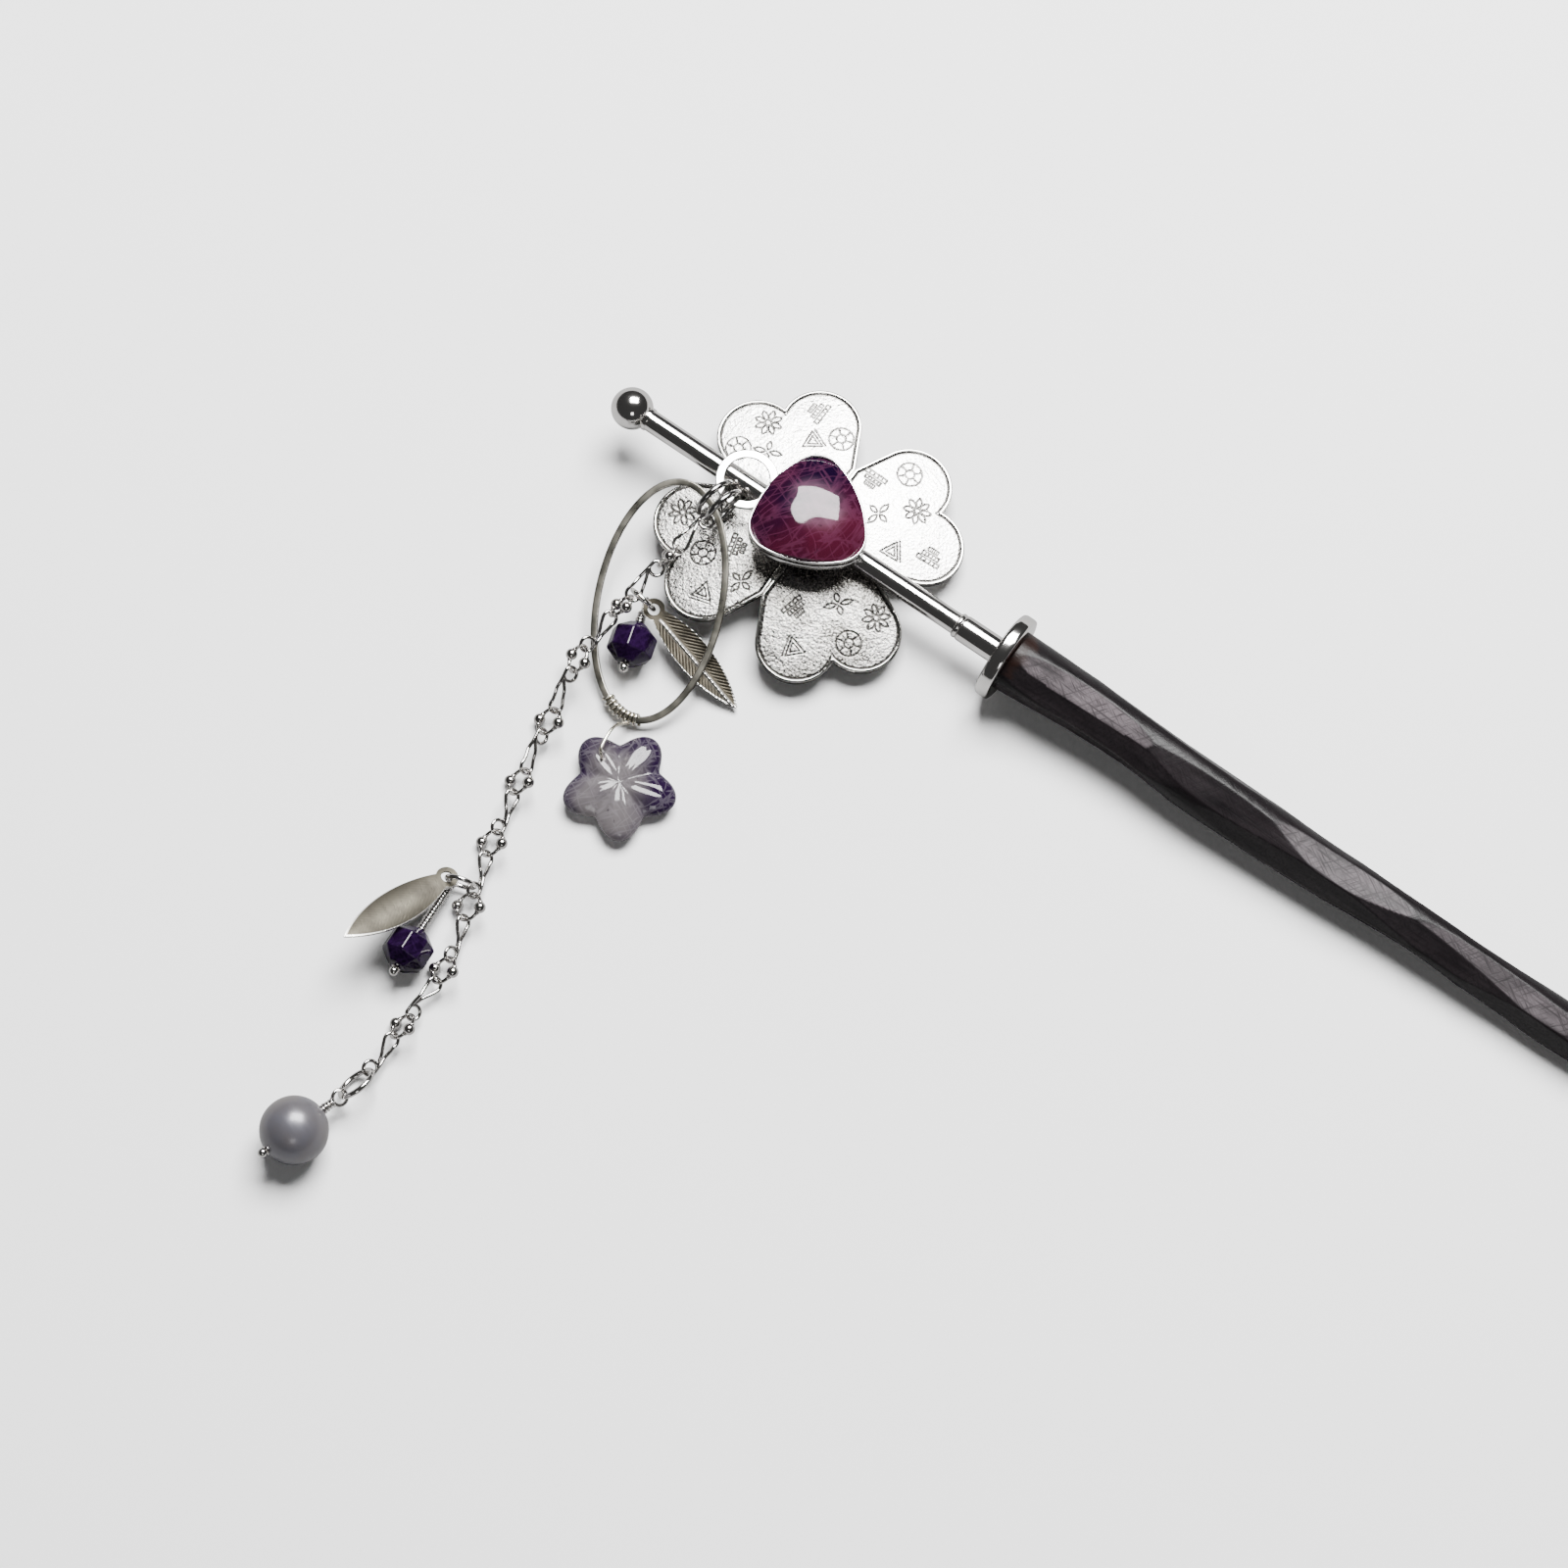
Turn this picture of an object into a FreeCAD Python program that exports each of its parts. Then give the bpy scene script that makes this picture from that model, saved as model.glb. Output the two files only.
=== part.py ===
import FreeCAD, Part
import math
import os

import Sketcher

from FreeCAD import Placement, Rotation, Vector

# Decorative hair pin: an ebony stick with a steel head, a four-petal clover under a domed stone, and two hanging drops.
#
# The frame's origin is the centre of the flange face that meets the wood, on the pin's axis. +X runs along the
# stick towards its tip and +Z is up. The pin lies on a table, flange_diameter / 2 below the origin, with its clover
# underneath, and its drops lie beside it on the -Y side. Heights written as height are measured from the table.

SIZES = {
    # the pin
    "stick_length": 121.0,
    "stick_root_diameter": 8.1,
    "stick_tip_radius": 1.2,
    "flange_diameter": 11.4,
    "flange_thickness": 2.0,
    "flange_rounding": 0.5,
    "sleeve_diameter": 3.4,
    "sleeve_length": 6.2,
    "rod_diameter": 2.75,
    "rod_tang": 14.0,
    "glue_gap": 0.02,
    "ball_diameter": 5.3,
    "ball_reach": 57.0,
    "pin_lean": 1.75,
    # the clover, the stone and their setting
    "clover_reach": 30.2,
    "clover_sheet": 0.9,
    "clover_dome_radius": 110.0,
    "petal_lobe_radius": 5.1,
    "petal_lobe_reach": 13.7,
    "petal_lobe_spread": 4.0,
    "petal_root_width": 9.4,
    "staple_wire": 0.5,
    "staple_spread": 5.4,
    "bezel_corner_reach": 4.3,
    "bezel_corner_radius": 3.6,
    "bezel_side_reach": 6.4,
    "bezel_wall": 0.55,
    "bezel_floor": 0.5,
    "bezel_height": 2.5,
    "bezel_turn": 115.0,
    "stone_crown": 2.3,
    "stone_dome_radius": 12.0,
    # the rings that the drops hang on
    "hanger_diameter": 7.4,
    "hanger_band": 1.0,
    "hanger_sheet": 0.5,
    "hanger_from_clover": 9.45,
    "jump_wire": 0.8,
    "jump_radius": 2.6,
    "jump_pitch": 1.68,
    # the oval hoop and its flower bead
    "hoop_half_length": 15.0,
    "hoop_half_width": 7.8,
    "hoop_strip": 1.1,
    "hoop_sheet": 0.6,
    "wrap_wire": 0.35,
    "wrap_length": 5.6,
    "flower_reach": 3.7,
    "flower_lobe_length": 3.2,
    "flower_lobe_radius": 2.6,
    "flower_thickness": 3.6,
    "flower_hole": 1.2,
    # the chain
    "chain_wire": 0.45,
    "link_half_length": 3.0,
    "link_end_radius": 0.9,
    "ball_ring_radius": 1.75,
    "ball_ring_ball": 1.4,
    "link_play": 0.08,
    # the charms
    "charm_ring_wire": 0.6,
    "charm_ring_radius": 1.75,
    "pin_wire": 0.45,
    "pin_loop_radius": 0.95,
    "pin_neck_diameter": 1.15,
    "pin_ball": 1.2,
    "bead_diameter": 6.0,
    "leaf_length": 17.0,
    "leaf_width": 5.4,
    "leaf_sheet": 0.45,
    "leaf_bend_radius": 6.5,
    "leaf_hole": 1.5,
    "pearl_diameter": 8.3,
    "pearl_ring_wire": 0.7,
    "pearl_ring_radius": 2.3,
}

doc = FreeCAD.newDocument("hair_pin")
sheet = doc.addObject("Spreadsheet::Sheet", "Sizes")
for row, (alias, value) in enumerate(SIZES.items(), 1):
    sheet.set(f"A{row}", alias)
    sheet.set(f"B{row}", str(value))
    sheet.setAlias(f"B{row}", alias)
doc.recompute()

NODES = []
UP = Vector(0, 0, 1)
ALONG = Vector(1, 0, 0)


def size(alias):
    """A driving dimension, as the sheet has it."""
    return float(sheet.get(alias))


def cell(alias):
    """How an expression names a driving dimension."""
    return f"Sizes.{alias}"


def make(kind, name, placement=None, **bound):
    """A document object of a kind, with properties bound to expressions over the sheet's cells."""
    thing = doc.addObject(kind, name)
    for prop, expression in bound.items():
        thing.setExpression(prop, expression)
    if placement:
        thing.Placement = placement
    return thing


def node(thing, label, placement=None):
    """Names a finished sub-part and puts it in its place."""
    thing.Label = label
    if placement:
        thing.Placement = placement
    NODES.append(thing)
    return thing


def fused(name, pieces):
    joined = make("Part::MultiFuse", name)
    joined.Shapes = pieces
    return joined


def cut(name, base, tool):
    left = make("Part::Cut", name)
    left.Base = base
    left.Tool = tool
    return left


def common(name, one, other):
    both = make("Part::MultiCommon", name)
    both.Shapes = [one, other]
    return both


def at(x=0.0, y=0.0, z=0.0, turn=None):
    return Placement(Vector(x, y, z), turn or Rotation())


def facing(centre, normal, along):
    """A placement with its Z along a normal and its X as near a direction as the normal allows."""
    return Placement(centre, Rotation(along, Vector(), normal, "ZXY"))


def on_x(start):
    """A placement that lays a piece made along Z down along the pin's axis, from a start."""
    return Placement(Vector(start, 0, 0), Rotation(Vector(0, 1, 0), 90))


def above_table(x, y, height):
    """A point given by its height above the table."""
    return Vector(x, y, height - size("flange_diameter") / 2)


def unit(vector):
    return Vector(vector).normalize()


def turned(vector, axis, degrees):
    return Rotation(axis, degrees).multVec(vector)


def plane_of(body, role):
    """One of a body's own origin planes."""
    return next(p for p in body.Origin.OriginFeatures if p.Role == role)


def sketched(body, name, edges, role="XY_Plane"):
    """A sketch of edges on one of a body's origin planes."""
    sketch = body.newObject("Sketcher::SketchObject", name)
    sketch.AttachmentSupport = [(plane_of(body, role), "")]
    sketch.MapMode = "FlatFace"
    for edge in edges:
        sketch.addGeometry(edge, False)
    return sketch


def padded(body, name, sketch, length, both_ways=False):
    """A pad of a sketch, as long as an expression says."""
    pad = body.newObject("PartDesign::Pad", name)
    pad.Profile = sketch
    pad.setExpression("Length", length)
    pad.Midplane = both_ways
    sketch.Visibility = False
    return pad


def bound_circles(sketch, radii):
    """Concentric circles whose radii are bound to the sheet: {constraint name: expression}."""
    for name, expression in radii.items():
        circle = sketch.addGeometry(Part.Circle(Vector(), UP, 1.0), False)
        row = sketch.addConstraint(Sketcher.Constraint("Radius", circle, 1.0))
        sketch.renameConstraint(row, name)
        sketch.setExpression(f"Constraints.{name}", expression)


# --- the pin: everything on its axis is made level, then leans down to the tip -------------------------------

LEAN = Placement(Vector(), Rotation(Vector(0, 1, 0), size("pin_lean")))

# how the carved stick swells and wanders: (share of its length, share of its root diameter, sideways shift)
STICK_STATIONS = (
    (0.0, 1.0, 0.0),
    (0.08, 0.92, 0.24),
    (0.15, 0.89, 0.4),
    (0.23, 0.93, 0.0),
    (0.38, 0.83, -0.36),
    (0.5, 0.76, 0.2),
    (0.66, 0.77, -0.2),
    (0.82, 0.64, 0.1),
    (0.93, 0.5, 0.0),
)


def make_stick():
    """Round sections along the stick, joined straight from one to the next, with a rounded tip and a blind bore."""
    tip_place = f"{cell('stick_length')} - {cell('stick_tip_radius')}"
    sections = []
    for number, (share, thick, shift) in enumerate(STICK_STATIONS):
        radius = f"{cell('stick_root_diameter')} / 2 * {thick}"
        ring = make("Part::Circle", f"StickSection{number}", on_x(0), Radius=radius)
        ring.setExpression("Placement.Base.x", f"{cell('stick_length')} * {share}")
        ring.setExpression("Placement.Base.y", str(shift))
        sections.append(ring)
    last = make("Part::Circle", "StickSectionTip", on_x(0), Radius=cell("stick_tip_radius"))
    last.setExpression("Placement.Base.x", tip_place)
    wood = make("Part::Loft", "StickWood")
    wood.Sections = sections + [last]
    wood.Solid = True
    wood.Ruled = True
    tip = make("Part::Sphere", "StickTip", Radius=cell("stick_tip_radius"))
    tip.setExpression("Placement.Base.x", tip_place)
    bore_radius = f"{cell('rod_diameter')} / 2 + {cell('glue_gap')}"
    bore = make("Part::Cylinder", "StickBore", on_x(0), Radius=bore_radius, Height=cell("rod_tang"))
    node(cut("Stick", fused("StickWhole", [wood, tip]), bore), "hair_stick", LEAN)


def make_flange():
    """A disc with rounded rims, bored for the rod, on the -X side of the wood's end."""
    body = doc.addObject("PartDesign::Body", "Flange")
    sketch = sketched(body, "FlangeSketch", [], "YZ_Plane")
    bound_circles(sketch, {
        "rim": f"{cell('flange_diameter')} / 2",
        "bore": f"{cell('rod_diameter')} / 2 + {cell('glue_gap')}",
    })
    pad = padded(body, "FlangePad", sketch, cell("flange_thickness"))
    pad.Reversed = True
    doc.recompute()
    rims = [
        f"Edge{n}" for n, edge in enumerate(pad.Shape.Edges, 1)
        if isinstance(edge.Curve, Part.Circle) and edge.Curve.Radius > size("rod_diameter")
    ]
    rounding = body.newObject("PartDesign::Fillet", "FlangeRounding")
    rounding.Base = (pad, rims)
    rounding.setExpression("Radius", cell("flange_rounding"))
    body.Tip = rounding
    node(body, "stick_flange", LEAN)


def make_sleeve():
    """A collar on the rod, between its shoulder and the flange."""
    body = doc.addObject("PartDesign::Body", "Sleeve")
    sketch = sketched(body, "SleeveSketch", [], "YZ_Plane")
    bound_circles(sketch, {
        "rim": f"{cell('sleeve_diameter')} / 2",
        "bore": f"{cell('rod_diameter')} / 2 + {cell('glue_gap')}",
    })
    pad = padded(body, "SleevePad", sketch, cell("sleeve_length"))
    pad.Reversed = True
    node(body, "rod_sleeve", LEAN * at(x=-size("flange_thickness")))


def make_rod():
    """One straight rod from inside the ball, through the sleeve and the flange, to its tang in the wood."""
    inside_ball = size("ball_diameter") / 4
    rod = make("Part::Cylinder", "Rod", Radius=f"{cell('rod_diameter')} / 2")
    rod.setExpression(
        "Height", f"{cell('ball_reach')} - {cell('ball_diameter')} / 4 + {cell('rod_tang')}"
    )
    node(rod, "head_rod", LEAN * on_x(inside_ball - size("ball_reach")))


def make_ball():
    """A ball with a blind bore that the rod's end sits in."""
    ball = make("Part::Sphere", "BallWhole", Radius=f"{cell('ball_diameter')} / 2")
    bore = make(
        "Part::Cylinder", "BallBore", on_x(0),
        Radius=f"{cell('rod_diameter')} / 2 + {cell('glue_gap')}", Height=cell("ball_diameter"),
    )
    bore.setExpression("Placement.Base.x", f"{cell('ball_diameter')} / 4")
    node(cut("Ball", ball, bore), "ball_finial", LEAN * at(x=-size("ball_reach")))


# --- the clover, made about its own centre and leaning with the pin -------------------------------------------

CLOVER = LEAN * at(x=-size("clover_reach"))
STAPLE_SIDES = (-1, 1)
HANGER = CLOVER * at(x=-size("hanger_from_clover"), z=size("rod_diameter") / 2 + size("glue_gap"))
BEZEL = CLOVER * at(z=size("rod_diameter") / 2 + 2 * size("glue_gap") + size("hanger_sheet"))


def petal_edges():
    """A heart: two round lobes side by side, with straight flanks that run in to a narrow root."""
    reach = size("petal_lobe_reach")
    spread = size("petal_lobe_spread")
    radius = size("petal_lobe_radius")
    root = size("petal_root_width") / 2
    notch = Vector(reach + math.sqrt(radius**2 - spread**2), 0, 0)
    edges = []
    for side in (1, -1):
        centre = Vector(reach, side * spread, 0)
        start = Vector(0, side * root, 0)
        to_centre = centre - start
        # the flank touches the lobe where the radius stands square to it
        swing = math.degrees(math.acos(radius / to_centre.Length))
        touch = centre + turned(unit(start - centre), UP, -side * swing) * radius
        outward = centre + turned(unit(touch - centre), UP, -side * 110) * radius
        edges.append(Part.LineSegment(start, touch))
        edges.append(Part.Arc(touch, outward, notch))
    edges.append(Part.LineSegment(Vector(0, -root, 0), Vector(0, root, 0)))
    return edges


def make_clover():
    """Four hearts in a ring, cut out of a thin domed shell, with holes for the binding wire's legs."""
    tall = f"{cell('petal_lobe_reach')} * 2"
    body = doc.addObject("PartDesign::Body", "CloverOutline")
    pad = padded(body, "PetalPad", sketched(body, "PetalSketch", petal_edges()), tall)
    pad.Midplane = True
    doc.recompute()
    ring = body.newObject("PartDesign::PolarPattern", "PetalRing")
    ring.Originals = [pad]
    ring.Axis = (plane_of(body, "Z_Axis"), [""])
    ring.Angle = 360
    ring.Occurrences = 4
    body.Tip = ring
    body.Placement = Placement(Vector(), Rotation(UP, 45))

    under_rod = f"-{cell('rod_diameter')} / 2 - {cell('glue_gap')} - {cell('clover_dome_radius')}"
    outer = make("Part::Sphere", "DomeOutside", Radius=cell("clover_dome_radius"))
    inner = make(
        "Part::Sphere", "DomeInside", Radius=f"{cell('clover_dome_radius')} - {cell('clover_sheet')}"
    )
    for ball in (outer, inner):
        ball.setExpression("Placement.Base.z", under_rod)
    plate = common("CloverPlate", body, cut("Dome", outer, inner))
    holes = []
    for end in STAPLE_SIDES:
        for side in (-1, 1):
            hole = make(
                "Part::Cylinder", f"StapleHole{len(holes)}",
                Radius=f"{cell('staple_wire')} / 2 + {cell('glue_gap')}", Height=cell("rod_diameter") + " * 4",
            )
            hole.setExpression("Placement.Base.x", f"{end} * {cell('staple_spread')}")
            hole.setExpression("Placement.Base.y", f"{side} * ({cell('rod_diameter')} + {cell('staple_wire')}) / 2")
            hole.setExpression("Placement.Base.z", f"-{cell('rod_diameter')} * 4")
            holes.append(hole)
    node(cut("Clover", plate, fused("StapleHoles", holes)), "clover_plate", CLOVER)


def make_staple(label, end):
    """A wire bent over the rod, with two legs down through the clover."""
    bend = f"({cell('rod_diameter')} + {cell('staple_wire')}) / 2 + {cell('glue_gap')}"
    leg_length = f"{cell('rod_diameter')} / 2 + {cell('clover_sheet')} + 0.5"
    over = make(
        "Part::Torus", f"StapleBend{label}", Radius1=bend, Radius2=f"{cell('staple_wire')} / 2", Angle3="180"
    )
    over.Placement = Placement(Vector(), Rotation(Vector(0, 1, 0), Vector(), ALONG, "ZXY"))
    pieces = [over]
    for side in (-1, 1):
        leg = make(
            "Part::Cylinder", f"StapleLeg{label}{side + 1}", Radius=f"{cell('staple_wire')} / 2", Height=leg_length
        )
        leg.setExpression("Placement.Base.y", f"{side} * ({bend})")
        leg.setExpression("Placement.Base.z", f"-({leg_length})")
        pieces.append(leg)
    staple = fused(f"Staple{label}", pieces)
    node(staple, label, CLOVER * at(x=end * size("staple_spread")))


def rounded_triangle(inset):
    """Three round corners joined by gently bulging sides, turned so that one corner points across the pin."""
    corner_reach = size("bezel_corner_reach")
    corner_radius = size("bezel_corner_radius") - inset
    side_reach = size("bezel_side_reach")
    half = corner_reach * math.sin(math.radians(60))
    near = corner_reach * math.cos(math.radians(60))
    # a side arc's centre lies on the far side of the middle, so that the arc meets both corners smoothly
    bulge = side_reach - inset
    span = bulge - corner_radius
    back = (half**2 + near**2 - span**2) / (2 * (span - near))
    side_radius = bulge + back
    edges = []
    for step in range(3):
        turn = size("bezel_turn") + 120 * step
        corner = turned(ALONG, UP, turn) * corner_reach
        next_corner = turned(ALONG, UP, turn + 120) * corner_reach
        middle = turned(ALONG, UP, turn + 60)
        side_centre = middle * -back
        leave = side_centre + unit(corner - side_centre) * side_radius
        meet = side_centre + unit(next_corner - side_centre) * side_radius
        last_centre = turned(ALONG, UP, turn - 60) * -back
        arrive = last_centre + unit(corner - last_centre) * side_radius
        edges.append(Part.Arc(arrive, corner + unit(corner) * corner_radius, leave))
        edges.append(Part.Arc(leave, middle * bulge, meet))
    return edges


def make_bezel():
    """A shallow cup with the stone's outline, standing on the hanger ring and over the rod."""
    body = doc.addObject("PartDesign::Body", "Bezel")
    padded(body, "BezelPad", sketched(body, "BezelSketch", rounded_triangle(0)), cell("bezel_height"))
    doc.recompute()
    inside = sketched(body, "BezelInside", rounded_triangle(size("bezel_wall")))
    inside.AttachmentOffset = at(z=size("bezel_floor"))
    pocket = body.newObject("PartDesign::Pocket", "BezelPocket")
    pocket.Profile = inside
    pocket.Reversed = True
    pocket.setExpression("Length", cell("bezel_height"))
    inside.Visibility = False
    node(body, "bezel_cup", BEZEL)


def make_stone():
    """A flat-backed cabochon that fills the cup, with a domed crown."""
    body = doc.addObject("PartDesign::Body", "StoneOutline")
    outline = sketched(body, "StoneSketch", rounded_triangle(size("bezel_wall") + size("glue_gap")))
    padded(body, "StonePad", outline, f"{cell('bezel_height')} + {cell('stone_crown')}")
    dome = make("Part::Sphere", "StoneDome", Radius=cell("stone_dome_radius"))
    dome.setExpression(
        "Placement.Base.z",
        f"{cell('bezel_height')} - {cell('bezel_floor')} + {cell('stone_crown')} - {cell('stone_dome_radius')}",
    )
    node(common("Stone", body, dome), "amethyst_stone", BEZEL * at(z=size("bezel_floor")))


def make_hanger():
    """A flat ring that lies on the rod, with the cup standing on its rim."""
    outside = make(
        "Part::Cylinder", "HangerOutside",
        Radius=f"{cell('hanger_diameter')} / 2", Height=cell("hanger_sheet"),
    )
    inside = make(
        "Part::Cylinder", "HangerInside",
        Radius=f"{cell('hanger_diameter')} / 2 - {cell('hanger_band')}", Height=cell("hanger_sheet"),
    )
    node(cut("Hanger", outside, inside), "hanger_ring", HANGER)


# --- rings that pass through one another ---------------------------------------------------------------------

def make_ring(label, wire, radius, placement):
    """A plain closed wire ring."""
    ring = make("Part::Torus", f"Ring_{label}", Radius1=cell(radius), Radius2=f"{cell(wire)} / 2")
    return node(ring, label, placement)


# the two jump rings stand side by side on the hanger's band, square to it, and lean outwards
JUMP_OUT = turned(ALONG, UP, -105)
JUMP_SIDE = turned(ALONG, UP, -15)
JUMP_BAND = HANGER.multVec(
    JUMP_OUT * (size("hanger_diameter") / 2 - size("hanger_band") / 2) + UP * (size("hanger_sheet") / 2)
)
JUMP_CENTRE = JUMP_BAND + JUMP_OUT * 1.32 + JUMP_SIDE * 0.03 - UP * 0.15


def make_jump_rings():
    for label, side in (("jump_ring_left", -0.5), ("jump_ring_right", 0.5)):
        centre = JUMP_CENTRE + JUMP_SIDE * (side * size("jump_pitch"))
        make_ring(label, "jump_wire", "jump_radius", facing(centre, JUMP_SIDE, JUMP_OUT))


# --- where the flower bead lies, flat on the table below the hoop ---------------------------------------------

FLOWER_CENTRE = above_table(-30.8, -39.5, size("flower_thickness") / 2)
FLOWER_FIRST_LOBE = -55.0
FLOWER_LOBES = 5


def flower_point(heading, reach, height):
    """A point over the flower bead, by heading and distance from its centre and height above the table."""
    flat = FLOWER_CENTRE + turned(ALONG, UP, heading) * reach
    return above_table(flat.x, flat.y, height)


HELD_LOBE = FLOWER_FIRST_LOBE + 3 * 360 / FLOWER_LOBES


# --- the oval hoop: its own X runs down its length, and its strip passes through both jump rings ---------------

HOOP_HOOK_ANGLE = 32.0
HOOP_HEADING = -66.5
HOOP_SLOPE = 12.2
HOOP_ROLL = 7.0
HOOP_HOOK = JUMP_CENTRE + JUMP_OUT * 0.75 - JUMP_SIDE * 0.4 - UP * 0.75


def hoop_place():
    """Where the hoop lies, worked back from the point of its strip that the jump rings hold."""
    turn = Rotation(UP, HOOP_HEADING) * Rotation(Vector(0, 1, 0), HOOP_SLOPE) * Rotation(ALONG, HOOP_ROLL)
    angle = math.radians(180 - HOOP_HOOK_ANGLE)
    held = Vector(
        size("hoop_half_length") * math.cos(angle), size("hoop_half_width") * math.sin(angle), 0
    )
    return Placement(HOOP_HOOK - turn.multVec(held), turn)


HOOP = hoop_place()


def oval_band(name, half_strip, thickness):
    """A flat oval strip: half_strip either side of the hoop's own line, and as thick as an expression says."""
    body = doc.addObject("PartDesign::Body", name)
    edges = [
        Part.Ellipse(
            Vector(), size("hoop_half_length") + side * half_strip, size("hoop_half_width") + side * half_strip
        )
        for side in (1, -1)
    ]
    padded(body, f"{name}Pad", sketched(body, f"{name}Sketch", edges), thickness, both_ways=True)
    return body


def make_hoop():
    node(oval_band("Hoop", size("hoop_strip") / 2, cell("hoop_sheet")), "oval_hoop", HOOP)


def make_hoop_wrap():
    """The wire wound round the hoop's low end, as one close sleeve, with the leg that holds the flower bead."""
    wound = oval_band(
        "WrapBand", size("hoop_strip") / 2 + size("wrap_wire"), f"{cell('hoop_sheet')} + 2 * {cell('wrap_wire')}"
    )
    low_end = make(
        "Part::Box", "WrapExtent", Length=cell("hoop_half_length"), Width=cell("wrap_length"),
        Height=cell("hoop_strip") + " * 4",
    )
    low_end.setExpression("Placement.Base.x", f"{cell('hoop_half_length')} / 2")
    low_end.setExpression("Placement.Base.y", f"-{cell('wrap_length')} / 2")
    low_end.setExpression("Placement.Base.z", f"-{cell('hoop_strip')} * 2")
    hollow = oval_band("WrapHollow", size("hoop_strip") / 2 + size("glue_gap"), f"{cell('hoop_sheet')} + 0.04")
    sleeve = cut("WrapSleeve", common("WrapPiece", wound, low_end), hollow)
    start = HOOP.multVec(Vector(size("hoop_half_length"), 0, (size("hoop_sheet") + size("wrap_wire")) / 2))
    top = size("flower_thickness")
    stops = [
        start,
        flower_point(HELD_LOBE - 30, size("flower_reach") + 2.5, top + 0.6),
        flower_point(HELD_LOBE, size("flower_reach"), top + 0.35),
        flower_point(HELD_LOBE, size("flower_reach"), top / 2),
    ]
    leg = bent_wire("WrapLeg", [HOOP.inverse().multVec(stop) for stop in stops], f"{cell('wrap_wire')} / 2")
    node(fused("Wrap", [sleeve] + leg), "hoop_wire_wrap", HOOP)


def bent_wire(name, stops, radius):
    """Straight wires from each stop to the next, with a ball at every bend and at the end."""
    pieces = []
    for number, (start, end) in enumerate(zip(stops, stops[1:])):
        run = make("Part::Cylinder", f"{name}Run{number}", Radius=radius)
        run.Height = (end - start).Length
        run.Placement = Placement(start, Rotation(UP, end - start))
        pieces += [run, make("Part::Sphere", f"{name}Bend{number}", Placement(end, Rotation()), Radius=radius)]
    return pieces


# --- the carved flower bead ------------------------------------------------------------------------------------


def make_flower():
    """Five plump lobes in a ring, each a flattened egg that points outwards, drilled through one lobe."""
    lobes = []
    for number in range(FLOWER_LOBES):
        lobe = make(
            "Part::Ellipsoid", f"FlowerLobe{number}", Radius1=f"{cell('flower_thickness')} / 2",
            Radius2=cell("flower_lobe_length"), Radius3=cell("flower_lobe_radius"),
        )
        heading = Rotation(UP, FLOWER_FIRST_LOBE + number * 360 / FLOWER_LOBES)
        lobe.Placement = Placement(heading.multVec(ALONG) * size("flower_reach"), heading)
        lobes.append(lobe)
    hole = make(
        "Part::Cylinder", "FlowerHole",
        Radius=f"{cell('flower_hole')} / 2", Height=f"{cell('flower_thickness')} * 2",
    )
    hole.Placement = at(z=-size("flower_thickness"))
    hole.Placement.Base += turned(ALONG, UP, HELD_LOBE) * size("flower_reach")
    drilled = cut("FlowerDrilled", fused("FlowerLobes", lobes), hole)
    node(drilled, "flower_bead", Placement(FLOWER_CENTRE, Rotation()))


# --- the chain: figure-of-eight links and ball rings, taking turns ----------------------------------------------

CHAIN_START = JUMP_CENTRE + JUMP_SIDE * (size("jump_pitch") / 2) + JUMP_OUT * (
    size("jump_radius") - (size("jump_wire") + size("chain_wire")) / 2 - 2 * size("link_play")
)
CHAIN_ROUTE = [CHAIN_START] + [
    above_table(*point) for point in (
        (-42.1, -13.3, 7.05),
        (-43.3, -21.2, 5.6),
        (-44.1, -26.5, 5.3),
        (-43.5, -33.5, 3.0),
        (-42.3, -40.0, 2.2),
        (-39.9, -52.0, 2.15),
        (-37.0, -62.0, 2.15),
        (-34.5, -71.0, 2.15),
        (-34.5, -79.0, 2.15),
        (-34.2, -90.0, 2.15),
    )
]
# how far each piece is rolled about the chain's line: neighbours stand nearly square to each other
LINK_ROLLS = (-5, -25, -40, -45, -50, -40, -40, -48, -42, -36)
BALL_RING_ROLLS = (70, 57, 47, 42, 45, 42, 36, 44, 50)


def walk(points, steps):
    """Points along a smooth line through a route, each a straight step from the last."""
    line = Part.BSplineCurve()
    line.interpolate(points)
    trail = line.discretize(4000)
    found = [trail[0]]
    for point in trail:
        if len(found) <= len(steps) and (point - found[-1]).Length >= steps[len(found) - 1]:
            found.append(point)
    return found


def chain_frame(start, end, roll):
    """A piece of the chain's place: X along it, and Y across it, rolled away from level."""
    along = unit(end - start)
    across = turned(unit(along.cross(UP)), along, roll)
    return Placement((start + end) / 2, Rotation(along, across, Vector(), "XYZ"))


LINK_STEP = 2 * size("link_half_length")
RING_STEP = 2 * (size("ball_ring_radius") - size("chain_wire") - size("link_play"))
CHAIN_STEPS = ([LINK_STEP, RING_STEP] * len(LINK_ROLLS))[:-1]
CHAIN = walk(CHAIN_ROUTE, CHAIN_STEPS)
LINK_FRAMES = [chain_frame(CHAIN[2 * k], CHAIN[2 * k + 1], roll) for k, roll in enumerate(LINK_ROLLS)]
BALL_RING_FRAMES = [
    chain_frame(CHAIN[2 * k + 1], CHAIN[2 * k + 2], roll) for k, roll in enumerate(BALL_RING_ROLLS)
]


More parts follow.
